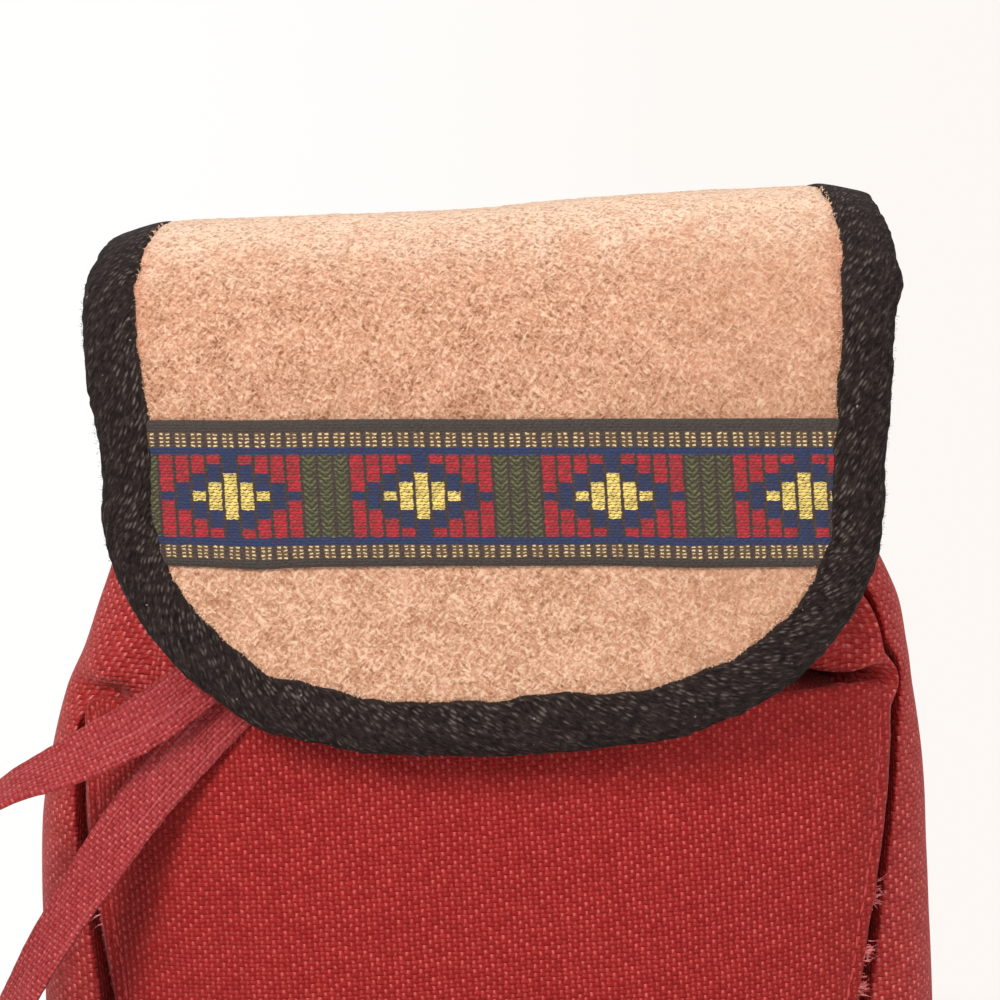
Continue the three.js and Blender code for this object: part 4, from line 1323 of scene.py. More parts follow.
def stitchRow(name, places, thread, width, material, body, slotName):
    # places: (start, end, outward) of each stitch, a short thread that dips in at both ends
    verts, faces = [], []
    sides, rings = 6, 5
    for start, end, out in places:
        along = (end - start).normalized()
        side = along.cross(out).normalized()
        base = len(verts)
        for r in range(rings):
            share = r / (rings - 1)
            swell = math.sin(math.pi * (0.08 + 0.84 * share)) ** 0.6
            centre = start.lerp(end, share) + out * thread * (swell - 0.75)
            for k in range(sides):
                turn = 2 * math.pi * k / sides
                offset = side * math.cos(turn) * width / 2 + out * math.sin(turn) * thread
                verts.append((centre + offset * swell) * mm)
        for r in range(rings - 1):
            for k in range(sides):
                a, b = base + r * sides + k, base + r * sides + (k + 1) % sides
                faces.append((a, b, b + sides, a + sides))
        faces.append(tuple(base + k for k in reversed(range(sides))))
        faces.append(tuple(base + (rings - 1) * sides + k for k in range(sides)))
    looseMesh(name, verts, faces, material, body, slotName)


def pocketStitches():
    places = []
    for hand in (-1, 1):
        z = pocket["bottom"] + 3.0
        while z < pocket["top"] - 4:
            ends = []
            for level in (z, z + pocket["stitchStep"] * 0.8):
                x = hand * (pocketEdge(level, hand) - pocket["stitchInset"] + 0.2 * ripple(level, hand, 7.0))
                ends.append(pocketPoint(x, level, pocketSlack(x, level)))
            places.append((ends[0], ends[1], pocketOut(hand * (pocketHalfWidth(z) - 3), z)))
            z += pocket["stitchStep"]
    x = -pocket["bottomHalfWidth"] + 4
    foot = pocket["bottom"] + pocket["stitchInset"]
    while x < pocket["bottomHalfWidth"] - 6:
        ends = [pocketPoint(a, foot, pocketSlack(a, foot)) for a in (x, x + pocket["stitchStep"] * 0.8)]
        places.append((ends[0], ends[1], pocketOut(x, foot)))
        x += pocket["stitchStep"]
    stitchRow("pocket_stitches", places, 0.28, 0.6, redThread, "bag", "red_cloth")


pocketStitches()
print("pocket sewn on")


# Flap: suede on a lining, bound with braid and trimmed with ribbon

flap = {
    "hingeHeight": 186,
    "hingeSetback": 37,
    "crest": 209,
    "lowerEdge": 117,
    "rearBend": 21,
    "edgeDroop": 2.2,  # how far the side edges hang down behind the crest
    "rearSag": 2.4,  # how far the crest sinks towards the back
    "frontRise": 1.0,
    "midSag": 0.9,
    "frontBend": 34,
    "frontLean": 4.5,
    "tieRoom": 7.6,  # two ties and some ease under the flap
    "rootHalfWidth": 58,
    "crestHalfWidth": 66,
    "bendHalfWidth": 68,
    "shoulderHalfWidth": (71.3, 70.8),  # left and right
    "flankHalfWidth": (68.6, 69.4),
    "waistHalfWidth": (67.1, 68.4),
    "endSquareness": (2.2, 2.42),
    "roundEnd": 47,
    "crown": 4,  # how far its front falls back, at the next distance from the middle
    "crownReach": 72,
    "droopFrom": 56,
    "droopTo": 70,
    "topTilt": 0.058,
    "lowTilt": 0.026,
    "suede": 2.0,
    "lining": 1.0,
    "coreInset": 2.0,
    "gap": 0.3,
    "suedeCloth": (0.138, 0.187),  # flat sizes in metres
    "liningCloth": (0.138, 0.186),
}
flapLean = math.radians(flap["frontLean"])
flapUnderside = pocketFace(0, flap["lowerEdge"]) - flap["tieRoom"] - flap["lining"] - flap["gap"]


def flapProfile():
    # the suede's inner face seen from the side, as stretches of (length, point and heading at a distance)
    rear, bend = flap["rearBend"], flap["frontBend"]
    rearHeight = flap["crest"] - rear
    frontHeight = flap["crest"] - bend
    bendEnd = frontHeight + bend * math.sin(flapLean)
    frontY = flapUnderside + math.tan(flapLean) * (bendEnd - flap["lowerEdge"]) + bend * math.cos(flapLean)

    def line(y, z, dy, dz):
        return lambda d: ((y + dy * d, z + dz * d), (dy, dz))

    def arc(y, z, radius, start):
        def at(d):
            turn = start + d / radius
            return (
                (y + radius * math.cos(turn), z + radius * math.sin(turn)),
                (-math.sin(turn), math.cos(turn)),
            )
        return at

    rearY = flap["hingeSetback"] - rear
    return [
        (rearHeight - flap["hingeHeight"], line(flap["hingeSetback"], flap["hingeHeight"], 0, 1)),
        (rear * math.pi / 2, arc(rearY, rearHeight, rear, 0)),
        (rearY - frontY, line(rearY, flap["crest"], -1, 0)),
        (bend * (math.pi / 2 - flapLean), arc(frontY, frontHeight, bend, math.pi / 2)),
        (
            (bendEnd - flap["lowerEdge"]) / math.cos(flapLean),
            line(frontY - bend * math.cos(flapLean), bendEnd, -math.sin(flapLean), -math.cos(flapLean)),
        ),
    ]


flapStretches = flapProfile()
flapLength = sum(length for length, _ in flapStretches)
flapRoundStart = flapLength - flap["roundEnd"]
flapRearEnd, flapFrontStart, flapFrontEnd = (
    sum(length for length, _ in flapStretches[:k]) for k in (2, 3, 4)
)
settling = through([(flapFrontStart, 0), (flapFrontEnd, 1)])
drooping = through([(0, 0), (flapRearEnd - 15, 1), (flapFrontStart + 2, 1), (flapFrontStart + 28, 0)])
cresting = through([
    (0, 0),
    (flapRearEnd - 4, -flap["rearSag"]),
    (flapFrontStart - 3, flap["frontRise"]),
    (flapFrontStart + 24, 0),
])
hanging = through([
    (-66, -1.6), (-60, -1.5), (-54, -0.7), (-47, 0), (-40, 1.1), (-33, 0.1),
    (-20, -0.4), (0, -1.0), (22, -0.8), (36, 0.2), (50, 0),
])
tilting = through([
    (0, 0),
    (flapRearEnd, flap["topTilt"]),
    (flapFrontStart, flap["topTilt"]),
    (flapRoundStart, flap["lowTilt"]),
])


flapSides = [
    through([
        (0, flap["rootHalfWidth"]),
        (flapRearEnd, flap["crestHalfWidth"]),
        (flapFrontStart, flap["bendHalfWidth"]),
        ((flapFrontStart + flapFrontEnd) / 2, shoulder),
        (flapFrontEnd, flank),
        (flapRoundStart, waist),
    ])
    for shoulder, flank, waist in zip(*(flap[f"{part}HalfWidth"] for part in ("shoulder", "flank", "waist")))
]


def flapHalfWidth(v, inset, hand):
    side = 0 if hand < 0 else 1
    if v <= flapRoundStart:
        return flapSides[side](max(v, 0)) - inset
    share = (v - flapRoundStart) / (flap["roundEnd"] - inset)
    return (flap["waistHalfWidth"][side] - inset) * ovalShare(share, flap["endSquareness"][side])


def flapAcross(share, v, inset):
    return flapHalfWidth(v, inset, share) * share


def profileAt(v):
    left = v
    for length, at in flapStretches[:-1]:
        if left <= length:
            return at(left)
        left -= length
    return flapStretches[-1][1](left)


def flapPoint(u, v, n):
    (y, z), (dy, dz) = profileAt(v + hanging(u) * smooth(v, flapRoundStart, flapLength - 12))
    raised = n + cresting(v) - flap["crown"] * settling(v) * (u / flap["crownReach"]) ** 2
    droop = flap["edgeDroop"] * smooth(abs(u), flap["droopFrom"], flap["droopTo"])
    raised -= drooping(v) * (droop + flap["midSag"] * hump(u, -8, 20))
    return Vector((u, y + raised * dz, z - raised * dy + u * tilting(v)))


def flapRow(t, inset, start):
    # rows from the seam to the lower edge, evenly spaced along the side and round the end
    straight = flapRoundStart - start
    end = flap["roundEnd"] - inset
    whole = straight + end * 1.2
    d = t * whole
    if d <= straight:
        return start + d
    return flapRoundStart + end * math.sin(1.5 * (d - straight) / (end * 1.2)) ** 0.9


def suedeRelief(u, v):
    dents = 0.5 * ripple(u, v, 36.0, 40.0) + 0.18 * ripple(u, v, 9.0, 41.0)
    nap = 0.16 * ripple(u, v, 2.1, 42.0) + 0.1 * ripple(u, v, 1.1, 43.0)
    creased = smooth(u, 38, 46) * (1 - smooth(u, 56, 60))
    return dents + nap - 0.35 * hump(v - 0.005 * (u - 45) ** 2, 82.5, 0.9) * creased


def makeSuedeFlap():
    inset = flap["coreInset"]

    def place(s, t):
        v = flapRow(t, inset, -0.9)
        u = flapAcross(2 * s - 1, v, inset)
        edge = -0.5 * smooth(abs(2 * s - 1), 0.95, 1.0)
        top = flap["suede"] if v > 1 else flap["suede"] - 0.7 * (1 - v) / 1.9
        return flapPoint(u, v, top + suedeRelief(u, v) + edge), (u, v)

    piece = layGrid("flap_suede", 160, 190, place)
    finishCloth(piece, (0, -1, 0.4), flap["suede"] - 0.2, suede, "flap", "suede", "flap_suede", angle=80)


def makeLining():
    inset = flap["coreInset"] + 0.3
    low = -flap["gap"] - flap["lining"]

    def place(s, t):
        v = flapRow(t, inset, 2.0)
        u = flapAcross(2 * s - 1, v, inset)
        return flapPoint(u, v, low + 0.2 * ripple(u, v, 16.0, 50.0)), (u, v)

    piece = layGrid("flap_lining", 90, 120, place)
    finishCloth(piece, (0, 1, -0.4), flap["lining"] - 0.2, liningCloth, "flap", "lining_cloth", "flap_lining")


makeSuedeFlap()
makeLining()

binding = {
    "width": 9.5,
    "rootGap": 4.0,
    "top": 3.6,  # the braid's outer face over the suede
    "lip": 2.3,  # its inner edge, down on the suede
    "knobHeight": 198,
    "foot": -3.2,  # its face under the lining
    "cover": 1.3,
    "waviness": 0.55,
    "scallop": 6.4,  # length of the bulges along its inner edge
    "step": 0.5,
    "columns": 54,
    "outColumns": 46,  # of them on the tape's outer face
}


def flapEdgeLine():
    # the flap's outline on its flat layout, from the left seam round the lower edge to the right seam
    halves = []
    for hand in (-1, 1):
        half = []
        v = binding["rootGap"]
        while v < flapRoundStart:
            half.append((hand * flapHalfWidth(v, 0, hand), v))
            v += 1.0
        squareness = flap["endSquareness"][0 if hand < 0 else 1]
        waist = hand * flapHalfWidth(flapRoundStart, 0, hand)
        for k in range(121):
            turn = math.pi / 2 * k / 120
            u = waist * max(0.0, math.cos(turn)) ** (2 / squareness)
            half.append((u, flapRoundStart + flap["roundEnd"] * math.sin(turn) ** (2 / squareness)))
        halves.append(half)
    return [Vector((u, v, 0)) for u, v in halves[0][:-1] + halves[1][::-1]]


edgeLine = flapEdgeLine()
edgeLengths = runningLengths(edgeLine)
edgeLength = edgeLengths[-1]


def edgeAt(length):
    # point of the flap's outline and the way in from it
    k, f = partAt(edgeLengths, length)
    along = (edgeLine[min(k + 3, len(edgeLine) - 1)] - edgeLine[max(k - 2, 0)]).normalized()
    return edgeLine[k].lerp(edgeLine[k + 1], f), Vector((along.y, -along.x, 0))


def bindingSection():
    # folded tape, as (inward, height): the outside first, then back inside it
    top, foot, width = binding["top"], binding["foot"], binding["width"]
    radius = (top - foot) / 2
    middle = (top + foot) / 2
    nose, brow = radius * 0.8, width - 0.9
    outside = [(width, binding["lip"]), (width - 0.25, (top + binding["lip"]) / 2), (brow, top - 0.15)]
    for k in range(1, 7):
        outside.append((brow + (nose - brow) * k / 7, top + 0.4 * math.sin(math.pi * k / 7)))
    for k in range(9):
        turn = math.pi / 2 + math.pi * k / 8
        outside.append((nose + nose * math.cos(turn), middle + radius * math.sin(turn)))
    for k in range(1, 7):
        outside.append((nose + (width - nose) * k / 7, foot - 0.25 * math.sin(math.pi * k / 7)))
    outside.append((width, foot + 0.3))
    inside = [
        (width, foot + binding["cover"]),
        (3.0, foot + binding["cover"]),
        (2.0, middle),
        (3.0, binding["lip"] - 0.15),
        (width - 0.3, binding["lip"] - 0.15),
        (width, binding["lip"]),
    ]
    return outside, inside


def makeBinding():
    outside, inside = bindingSection()
    shareOut, lengthOut = evenShares(outside)
    insideLine = [outside[-1]] + inside
    shareIn, _ = evenShares(insideLine)
    steps = int(edgeLength / binding["step"])
    outColumns = binding["outColumns"]
    knobAt = edgeLength - min(
        (k for k in range(200) if flapPoint(*edgeAt(edgeLength - k)[0].xy, 0).y < -20),
        key=lambda k: abs(flapPoint(*edgeAt(edgeLength - k)[0].xy, 0).z - binding["knobHeight"]),
    )

    def alongLine(line, share):
        place = share * (len(line) - 1)
        k = min(int(place), len(line) - 2)
        f = place - k
        return tuple(a + (b - a) * f for a, b in zip(line[k], line[k + 1]))

    def place(s, t):
        length = t * edgeLength
        column = s * binding["columns"]
        edge, inward = edgeAt(length)
        swell = binding["waviness"] * ripple(length, 1.0, 13.0, 60.0) + 1.1 * hump(length, knobAt, 3.2)
        if column <= outColumns:
            share = column / outColumns
            across = share * lengthOut
            x, h = alongLine(outside, shareOut(share))
            near = 1 - smooth(x, 0, binding["width"])
            lump = 0.3 * ripple(across, length, 1.7, 61.0) + 0.3 * ripple(across, length, 5.0, 63.0)
            lump *= smooth(min(share, 1 - share), 0.0, 0.03)
            middle = (binding["top"] + binding["foot"]) / 2
            h += math.copysign(lump, h - middle) * (1 - 0.6 * near)
            x += -lump * near - swell * near
            flat = across
        else:
            share = (column - outColumns) / (binding["columns"] - outColumns)
            x, h = alongLine(insideLine, shareIn(share))
            flat = lengthOut + share * 20
        uneven = 0.75 * ripple(length, 5.0, binding["scallop"], 62.0)
        uneven += 0.25 * ripple(length, 5.0, 2.2, 64.0)
        uneven += 1.2 * hump(length, edgeLength / 2 + 9, 7)
        x += uneven * smooth(x, 6, binding["width"])
        spot = edge + inward * x
        proud = max(h - flap["suede"], 0) * 0.75 * drooping(spot.y)  # pressed flat behind the crest
        return flapPoint(spot.x, spot.y, h - proud), (flat, length)

    piece = layGrid("flap_binding", binding["columns"], steps, place)
    closeUp(piece, caps=True)
    finishPiece(piece, braid, "flap", "binding_tape", "flap_binding", angle=80)


makeBinding()

ribbon = {"width": 25.5, "aboveEdge": 33.6, "thickness": 0.7, "under": 1.2}


def makeRibbonBand():
    start = flapLength - ribbon["aboveEdge"] - ribbon["width"]
    inset = binding["width"] - ribbon["under"]

    def place(s, t):
        down = (1 - t) * ribbon["width"]
        v = start + down
        u = flapAcross(2 * s - 1, v, inset)
        sag = 0.35 * ripple(u, 2.0, 26.0, 70.0)
        rim = -0.3 * smooth(abs(2 * t - 1), 0.96, 1.0)
        lift = flap["suede"] + 0.35 + ribbon["thickness"] + 0.12 * ripple(u, v, 6.0, 71.0) + rim
        return flapPoint(u, v + sag + flap["lowTilt"] * u, lift + 0.4 * suedeRelief(u, v)), (u, down)

    piece = layGrid("flap_ribbon", 220, 40, place)
    finishCloth(piece, (0, -1, 0), ribbon["thickness"], ribbonWeave, "flap", "woven_ribbon", "flap_ribbon")


makeRibbonBand()
print(f"flap made, {flapLength:.0f} mm from seam to lower edge")


# Back yoke, sling strap, slider, ring and tab

yoke = {
    "bottom": 150,
    "top": 184.2,
    "halfWidth": 56,
    "wall": 1.3,
    "hingeLine": 38,
    "proud": 0.75,  # its outer face behind the hinge line
    "panelGap": 0.6,
    "seamedWall": 1.5,  # its cloth with the seam, where it lies on the panel
    "cloth": (0.112, 0.035),  # flat size in metres
}


def backOfSack(x, z):
    return sackBackDepth(z) * ovalShare(x / sackHalfWidth(z), sack["backSquareness"])


yokeRise = through([(yoke["bottom"], 0), (sackTop, 1)])


def yokeFace(x, z):
    onPanel = backOfSack(x, yoke["bottom"]) + yoke["panelGap"] + yoke["seamedWall"]
    return onPanel + (yoke["hingeLine"] + yoke["proud"] - onPanel) * yokeRise(z)


def makeYoke():
    def place(s, t):
        x = yoke["halfWidth"] * (2 * s - 1)
        z = yoke["bottom"] + (yoke["top"] - yoke["bottom"]) * t
        rim = -0.35 * max(smooth(abs(2 * s - 1), 0.975, 1.0), 1 - smooth(t, 0, 0.05))
        slack = 0.15 * ripple(x, z, 14.0, 80.0) * (1 - smooth(t, 0.85, 1))
        return Vector((x, yokeFace(x, z) + slack + rim, z)), (x, z)

    piece = layGrid("back_yoke", 100, 36, place)
    finishCloth(piece, (0, 1, 0), yoke["wall"], bagCloth, "bag", "red_cloth", "back_yoke")


makeYoke()

strap = {
    "width": 22,
    "thickness": 1.0,
    "top": 181,
    "foot": 36,
    "reach": 36,
    "bow": 66,
    "sliderAt": 84,
    "sliderThickness": 2.4,
    "sliderBar": 3,
    "sliderSlot": 7,
    "sliderRim": 3,
    "sliderCorner": 2.2,
    "sliderEdge": 0.45,
    "play": 1,
    "ringWire": 3,
    "ringLength": 13,
    "ringSwing": 26,
    "ringOpening": 18,
    "ringLift": 40,
    "tab": 15,
    "gap": 0.3,
}
strapSpan = math.hypot(strap["reach"], strap["top"] - strap["foot"])
strapLean = math.atan2(strap["reach"], strap["top"] - strap["foot"])
strapSeat = yoke["hingeLine"] + yoke["proud"] + strap["gap"] + strap["thickness"] / 2
strapDown = Vector((math.sin(strapLean), 0, -math.cos(strapLean)))
strapOff = Vector((0, 1, 0))
strapAcross = Vector((math.cos(strapLean), 0, math.sin(strapLean)))
strapStart = Vector((0, strapSeat, strap["top"]))


def onStrapPlane(down, off, across=0.0):
    return strapStart + strapDown * down + strapOff * off + strapAcross * across


wrapRadius = strap["ringWire"] / 2 + 2 * strap["gap"] + strap["thickness"] / 2
tabSeat = backOfSack(strap["reach"] - strap["width"] / 2, strap["foot"]) - strapSeat
tabSeat += strap["gap"] + strap["thickness"] / 2
ringFoot = (strapSpan, tabSeat + wrapRadius)
ringTilt = math.radians(strap["ringLift"])
ringReach = strap["ringLength"] - strap["ringWire"]
ringHead = (ringFoot[0] - math.cos(ringTilt) * ringReach, ringFoot[1] + math.sin(ringTilt) * ringReach)
layerStep = strap["thickness"] + strap["gap"]


def bezier(a, b, c, d, t):
    s = 1 - t
    return tuple(
        w * s ** 3 + 3 * x * s * s * t + 3 * y * s * t * t + z * t ** 3
        for w, x, y, z in zip(a, b, c, d)
    )


def strapLine():
    # the strap's own line down the back, bowed out where it hangs slack
    sewn = strap["top"] - sackTop
    bowed = (strapSpan * 0.86, strap["bow"])
    swing = (ringHead[0] + strap["ringSwing"], ringHead[1] + strap["ringSwing"])
    points = [(sewn * k / 12, 0.0) for k in range(12)]
    leave = ((sewn, 0), (strapSpan * 0.4, 0), (strapSpan * 0.5, strap["bow"]), bowed)
    points += [bezier(*leave, k / 80) for k in range(80)]
    points += [bezier(bowed, (strapSpan * 1.22, strap["bow"]), swing, ringHead, k / 120) for k in range(121)]
    return points


strapPoints = strapLine()
strapLengths = runningLengths(strapPoints)
strapLength = strapLengths[-1]


def besideStrap(distance, height):
    # a point beside the strap's line, and the line's heading there
    k, f = partAt(strapLengths, distance)
    a, b = strapPoints[k], strapPoints[k + 1]
    step = strapLengths[k + 1] - strapLengths[k]
    dx, dy = (b[0] - a[0]) / step, (b[1] - a[1]) / step
    return (a[0] + (b[0] - a[0]) * f - dy * height, a[1] + (b[1] - a[1]) * f + dx * height), (dx, dy)


barHeight = strap["thickness"] / 2 + 2 * strap["gap"] + strap["sliderThickness"] / 2
barWrap = math.hypot(strap["sliderBar"], strap["sliderThickness"]) / 2 + strap["gap"] + strap["thickness"] / 2
slotEnd = strap["sliderBar"] / 2 + strap["sliderSlot"]


def roundWire(centre, start):
    # half a turn of webbing round the ring
    turns = [start - math.pi * k / 16 for k in range(1, 16)]
    return [(centre[0] + wrapRadius * math.cos(t), centre[1] + wrapRadius * math.sin(t)) for t in turns]


def strapRoute():
    # down over the slider's bar, round the ring, back up inside and round the bar
    over = barHeight + barWrap + layerStep + strap["gap"]
    opening = through([(strapLength - strap["ringOpening"], 0), (strapLength, 1)])

    def rise(at):
        share = min(abs(at - strap["sliderAt"]) / slotEnd, 1)
        return over / 2 * (1 + math.cos(math.pi * share)) + wrapRadius * opening(at)

    def below(at):
        slope = rise(at + 0.5) - rise(at - 0.5)
        apart = wrapRadius * opening(at)
        return rise(at) - layerStep * math.hypot(1, slope) * (1 - opening(at)) - 2 * apart

    count = 170
    outward = [strapLength * k / count for k in range(count + 1)]
    route = [besideStrap(at, rise(at))[0] for at in outward]
    _, (dx, dy) = besideStrap(strapLength, 0)
    route += roundWire(ringHead, math.atan2(dy, dx) + math.pi / 2)
    for at in reversed(outward):
        if at >= strap["sliderAt"]:
            route.append(besideStrap(at, below(at))[0])
    for k in range(1, 13):
        turn = math.pi / 2 + 0.9 * math.pi * k / 12
        spot = strap["sliderAt"] + barWrap * math.cos(turn)
        route.append(besideStrap(spot, barHeight + barWrap * math.sin(turn))[0])
    return route


def tabRoute():
    rise = through([(ringFoot[0], 2 * wrapRadius), (ringFoot[0] + strap["tab"] * 0.6, layerStep)])
    stops = [ringFoot[0] + strap["tab"] * k / 14 for k in range(15)]
    route = [(at, tabSeat) for at in reversed(stops)]
    route += roundWire(ringFoot, -math.pi / 2)
    return route + [(at, tabSeat + rise(at)) for at in stops]


def makeBand(name, route):
    # webbing with rounded selvedges, carried along a route in the strap's plane
    lengths = runningLengths(route)
    last = len(route) - 1

    def place(s, t):
        k = min(int(round(t * last)), last)
        a, b = route[max(k - 1, 0)], route[min(k + 1, last)]
        size = max(math.dist(a, b), 1e-9)
        dx, dy = (b[0] - a[0]) / size, (b[1] - a[1]) / size
        across, rise, flat = tapeSection(s, strap["width"], strap["thickness"], 0.3, 0.5)
        down, off = route[k][0] - dy * rise, route[k][1] + dx * rise
        return onStrapPlane(down, off, across), (flat, lengths[k])

    piece = layGrid(name, 32, last, place)
    closeUp(piece, caps=True)
    finishPiece(piece, webbing, "bag", "webbing", name, angle=60)


makeBand("sling_strap", strapRoute())
makeBand("strap_tab", tabRoute())


def toStrapFrame(piece, down, off, heading):
    # turns a piece modelled flat (x along the webbing, y across it) into its place on the strap
    along = strapDown * heading[0] + strapOff * heading[1]
    up = strapDown * -heading[1] + strapOff * heading[0]
    seat = onStrapPlane(down, off)
    for v in piece.data.vertices:
        v.co = (seat * mm) + along * v.co.x - strapAcross * v.co.y + up * v.co.z
    piece.data.update()
    closeUp(piece)


def addBlock(halfLength, halfWidth, halfHeight, at=0.0):
    bpy.ops.object.select_all(action="DESELECT")
    size = (halfLength * mm, halfWidth * mm, halfHeight * mm)
    bpy.ops.mesh.primitive_cube_add(size=2, location=(at * mm, 0, 0), scale=size)
    return bpy.context.object


def makeSlider():
    halfLength = slotEnd + strap["sliderRim"]
    halfWidth = strap["width"] / 2 + strap["play"] + strap["sliderRim"]
    slotWidth = strap["width"] + 2 * strap["play"]
    middle = (strap["sliderBar"] + strap["sliderSlot"]) / 2
    piece = addBlock(halfLength, halfWidth, strap["sliderThickness"] / 2)
    piece.name = "strap_slider"
    bpy.ops.object.transform_apply(location=False, rotation=False, scale=True)
    bpy.ops.object.mode_set(mode="EDIT")
    bpy.ops.mesh.select_all(action="DESELECT")
    mesh = bmesh.from_edit_mesh(piece.data)
    for edge in mesh.edges:
        a, b = edge.verts
        edge.select = abs(a.co.z - b.co.z) > 1e-5  # the four upright corners
    bmesh.update_edit_mesh(piece.data)
    bpy.ops.mesh.bevel(offset=strap["sliderCorner"] * mm, segments=6, affect="EDGES")
    bpy.ops.object.mode_set(mode="OBJECT")
    for side in (-1, 1):
        slot = addBlock(strap["sliderSlot"] / 2, slotWidth / 2, strap["sliderThickness"], side * middle)
        useOnly(piece)
        cut = piece.modifiers.new("slot", "BOOLEAN")
        cut.operation = "DIFFERENCE"
        cut.object = slot
        bpy.ops.object.modifier_apply(modifier=cut.name)
        bpy.data.objects.remove(slot)
    rounded = piece.modifiers.new("moulded edge", "BEVEL")
    rounded.width = strap["sliderEdge"] * mm
    rounded.segments = 3
    rounded.limit_method = "ANGLE"
    rounded.angle_limit = math.radians(40)
    bpy.ops.object.modifier_apply(modifier=rounded.name)
    spot, heading = besideStrap(strap["sliderAt"], barHeight)
    toStrapFrame(piece, *spot, heading)
    finishPiece(piece, blackPlastic, "bag", "black_plastic", "strap_slider", angle=35)


def makeRing():
    reach = strap["width"] / 2 + strap["play"] + strap["ringWire"] / 2
    bpy.ops.object.select_all(action="DESELECT")
    bpy.ops.mesh.primitive_plane_add(size=2)
    piece = bpy.context.object
    piece.name = "strap_ring"
    for v in piece.data.vertices:
        v.co = ((v.co.x + 1) / 2 * ringReach * mm, v.co.y * reach * mm, 0)
    bpy.ops.object.mode_set(mode="EDIT")
    bpy.ops.mesh.select_all(action="SELECT")
    bpy.ops.mesh.bevel(offset=strap["ringWire"] * mm, segments=8, affect="VERTICES")
    bpy.ops.mesh.delete(type="ONLY_FACE")
    bpy.ops.object.mode_set(mode="OBJECT")
    bpy.ops.object.convert(target="CURVE")
    wire = bpy.context.object
    wire.data.dimensions = "3D"
    wire.data.bevel_depth = strap["ringWire"] / 2 * mm
    wire.data.bevel_resolution = 5
    bpy.ops.object.convert(target="MESH")
    piece = bpy.context.object
    toStrapFrame(piece, *ringHead, (math.cos(ringTilt), -math.sin(ringTilt)))
    finishPiece(piece, platedSteel, "bag", "plated_steel", "strap_ring", angle=60)


makeSlider()
makeRing()
print("strap rigged")


# Loose fibres: fuzz on the braid, nap over its inner edge, frayed threads on the pocket

def hairs(name, roots, thickness, material, body, slotName, curl=0.35):
    # each hair is a thin bent spike with three sides
    verts, faces = [], []
    for root, way, length in roots:
        side = way.orthogonal().normalized()
        other = way.cross(side)
        sway = Vector([random.uniform(-1, 1) for _ in range(3)]) * length * curl
        base = len(verts)
        for share, width in ((0.0, 1.0), (0.55, 0.75)):
            centre = root + way * length * share + sway * share * share
            for k in range(3):
                turn = 2 * math.pi * k / 3
                spoke = side * math.cos(turn) + other * math.sin(turn)
                verts.append((centre + spoke * thickness / 2 * width) * mm)
        verts.append((root + way * length + sway) * mm)
        for k in range(3):
            n = (k + 1) % 3
            faces.append((base + k, base + n, base + 3 + n, base + 3 + k))
            faces.append((base + 3 + k, base + 3 + n, base + 6))
        faces.append((base + 2, base + 1, base))
    looseMesh(name, verts, faces, material, body, slotName)


def randomWay():
    return Vector([random.gauss(0, 1) for _ in range(3)]).normalized()


fuzz = {
    "bindingHairs": 1500,
    "bindingThickness": 0.07,
    "suedeHairs": 1500,
    "suedeThickness": 0.11,
}


def flapHair(spot, inward, height):
    # root of a hair on the flap, the way out over its edge and the way up
    root = flapPoint(spot.x, spot.y, height)
    out = flapPoint(spot.x - inward.x, spot.y - inward.y, height) - root
    return root, out, flapPoint(spot.x, spot.y, height + 1) - root


def bindingFuzz():
    roots = []
    for _ in range(fuzz["bindingHairs"]):
        edge, inward = edgeAt(random.uniform(2, edgeLength - 2))
        x = random.choice((0.0, 0.0, 0.0, 0.3, 1.5, 4.0))
        spot = edge + inward * x
        if drooping(spot.y) > 0.2:
            continue
        root, out, up = flapHair(spot, inward, 0.4 if x < 1 else binding["top"] + 0.2)
        way = (out if x < 1 else up) * 0.9 + randomWay() * 0.8
        roots.append((root, way.normalized(), random.uniform(0.2, 0.8)))
    hairs("binding_fuzz", roots, fuzz["bindingThickness"], blackHair, "flap", "binding_tape")


def suedeFuzz():
    roots = []
    for _ in range(fuzz["suedeHairs"]):
        edge, inward = edgeAt(random.uniform(flapFrontStart, edgeLength - flapFrontStart))
        spot = edge + inward * (binding["width"] + random.uniform(-0.3, 0.9))
        root, out, up = flapHair(spot, inward, flap["suede"] + 0.5)
        way = out * 0.7 + up * 0.9 + randomWay() * 0.8
        roots.append((root, way.normalized(), random.uniform(0.3, 0.8)))
    hairs("suede_fuzz", roots, fuzz["suedeThickness"], peachHair, "flap", "suede")


fray = {
    "thickness": 0.14,
    "curl": 0.9,
    "tufts": (  # height, threads and side of each
        (88.0, 34, 1), (78.0, 60, 1), (71.6, 50, 1), (52.0, 40, 1), (93.0, 14, -1), (84.0, 20, -1),
    ),
}


def frayedEdge():
    roots = []
    for level, count, hand in fray["tufts"]:
        for _ in range(count):
            z = random.gauss(level, 1.0)
            x = hand * (pocketEdge(z, hand) - random.uniform(0.0, 0.9))
            out = pocketOut(x, z)
            root = pocketPoint(x, z, -0.3)
            way = Vector((hand * 0.9, -0.25, 0.1)) + out * 0.4 + randomWay() * 0.7
            roots.append((root, way.normalized(), random.uniform(0.5, 1.6)))
    hairs("frayed_threads", roots, fray["thickness"], frayHair, "bag", "red_cloth", fray["curl"])


bindingFuzz()
suedeFuzz()
frayedEdge()
print("fibres added")


# Floor, light and background

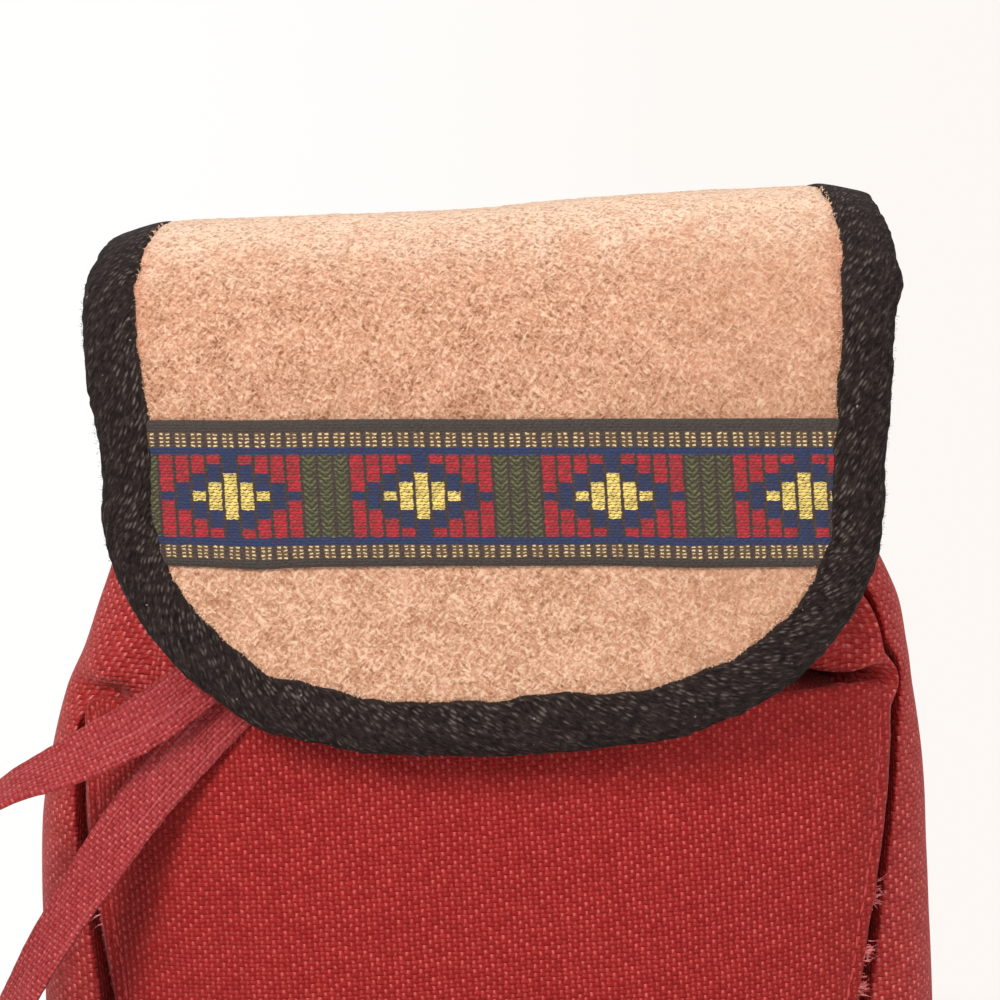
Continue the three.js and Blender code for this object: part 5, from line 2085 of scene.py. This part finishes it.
studio = {
    "fill": 0.26,
    "fillTint": (1.0, 0.985, 0.965, 1.0),
    "leftBack": srgb(255, 255, 253),
    "rightBack": srgb(253, 248, 244),
    "floor": (0.86, 0.85, 0.84, 1.0),
    "viewDistance": 0.70,
    "spread": 0.13,  # how far to each side the background changes from one tone to the other
    "floorFades": (0.12, 0.3),  # metres from the middle
    "aim": (0, -20, 140),  # where the lamps point
}


def seenDirectly(tree):
    # 1 for what the camera sees, also in a shiny or clear surface, and 0 for light on the part
    path = tree.nodes.new("ShaderNodeLightPath")
    rays = [Value(tree, path.outputs[f"Is {kind} Ray"]) for kind in ("Camera", "Glossy", "Transmission")]
    return rays[0].larger(rays[1]).larger(rays[2])


def showBehind(tree, share, lit, glow, bearing, output):
    # the background's own tone in place of what is lit
    tone = mix(between(bearing, -studio["spread"], studio["spread"]), studio["leftBack"], studio["rightBack"])
    shown = tree.nodes.new(glow)
    join(tree, tone, shown.inputs["Color"])
    both = tree.nodes.new("ShaderNodeMixShader")
    join(tree, share, both.inputs[0])
    tree.links.new(lit.outputs[0], both.inputs[1])
    tree.links.new(shown.outputs[0], both.inputs[2])
    tree.links.new(both.outputs[0], tree.nodes[output].inputs["Surface"])


def makeFloor():
    bpy.ops.object.select_all(action="DESELECT")
    bpy.ops.mesh.primitive_plane_add(size=6, location=(0, 0, -0.0002))
    floor = bpy.context.object
    floor.name = "floor"
    material, tree, shader = newMaterial("floor", 0.9, 0.1)
    shader.inputs["Base Color"].default_value = studio["floor"]
    where = objectPlace(tree)
    size = tree.nodes.new("ShaderNodeVectorMath")
    size.operation = "LENGTH"
    join(tree, where, size.inputs[0])
    far = between(Value(tree, size.outputs[1]), *studio["floorFades"]) * seenDirectly(tree)
    x, y, _ = splitUp(where)
    showBehind(tree, far, shader, "ShaderNodeEmission", x / (y + studio["viewDistance"]), "Material Output")
    floor.data.materials.append(material)


def makeWorld():
    world = bpy.data.worlds.new("studio")
    bpy.context.scene.world = world
    world.use_nodes = True
    tree = world.node_tree
    fill = tree.nodes["Background"]
    fill.inputs["Color"].default_value = studio["fillTint"]
    fill.inputs["Strength"].default_value = studio["fill"]
    way = Value(tree, tree.nodes.new("ShaderNodeTexCoord").outputs["Generated"])
    showBehind(tree, seenDirectly(tree), fill, "ShaderNodeBackground", splitUp(way)[0], "World Output")


def softbox(name, place, size, power):
    place, aim = Vector(place) * mm, Vector(studio["aim"]) * mm
    bpy.ops.object.light_add(type="AREA", location=place)
    lamp = bpy.context.object
    lamp.name = name
    lamp.rotation_euler = (place - aim).to_track_quat("Z", "Y").to_euler()
    lamp.data.shape = "DISK"
    lamp.data.size = size * mm
    lamp.data.energy = power
    lamp.visible_camera = False


makeFloor()
makeWorld()
softbox("upper_left", (-480, -760, 640), 420, 8.8)
softbox("overhead", (40, 40, 1000), 700, 4.8)
softbox("right_fill", (760, -640, 420), 700, 4.4)
bpy.context.scene.view_settings.view_transform = "Standard"
print("studio lit")
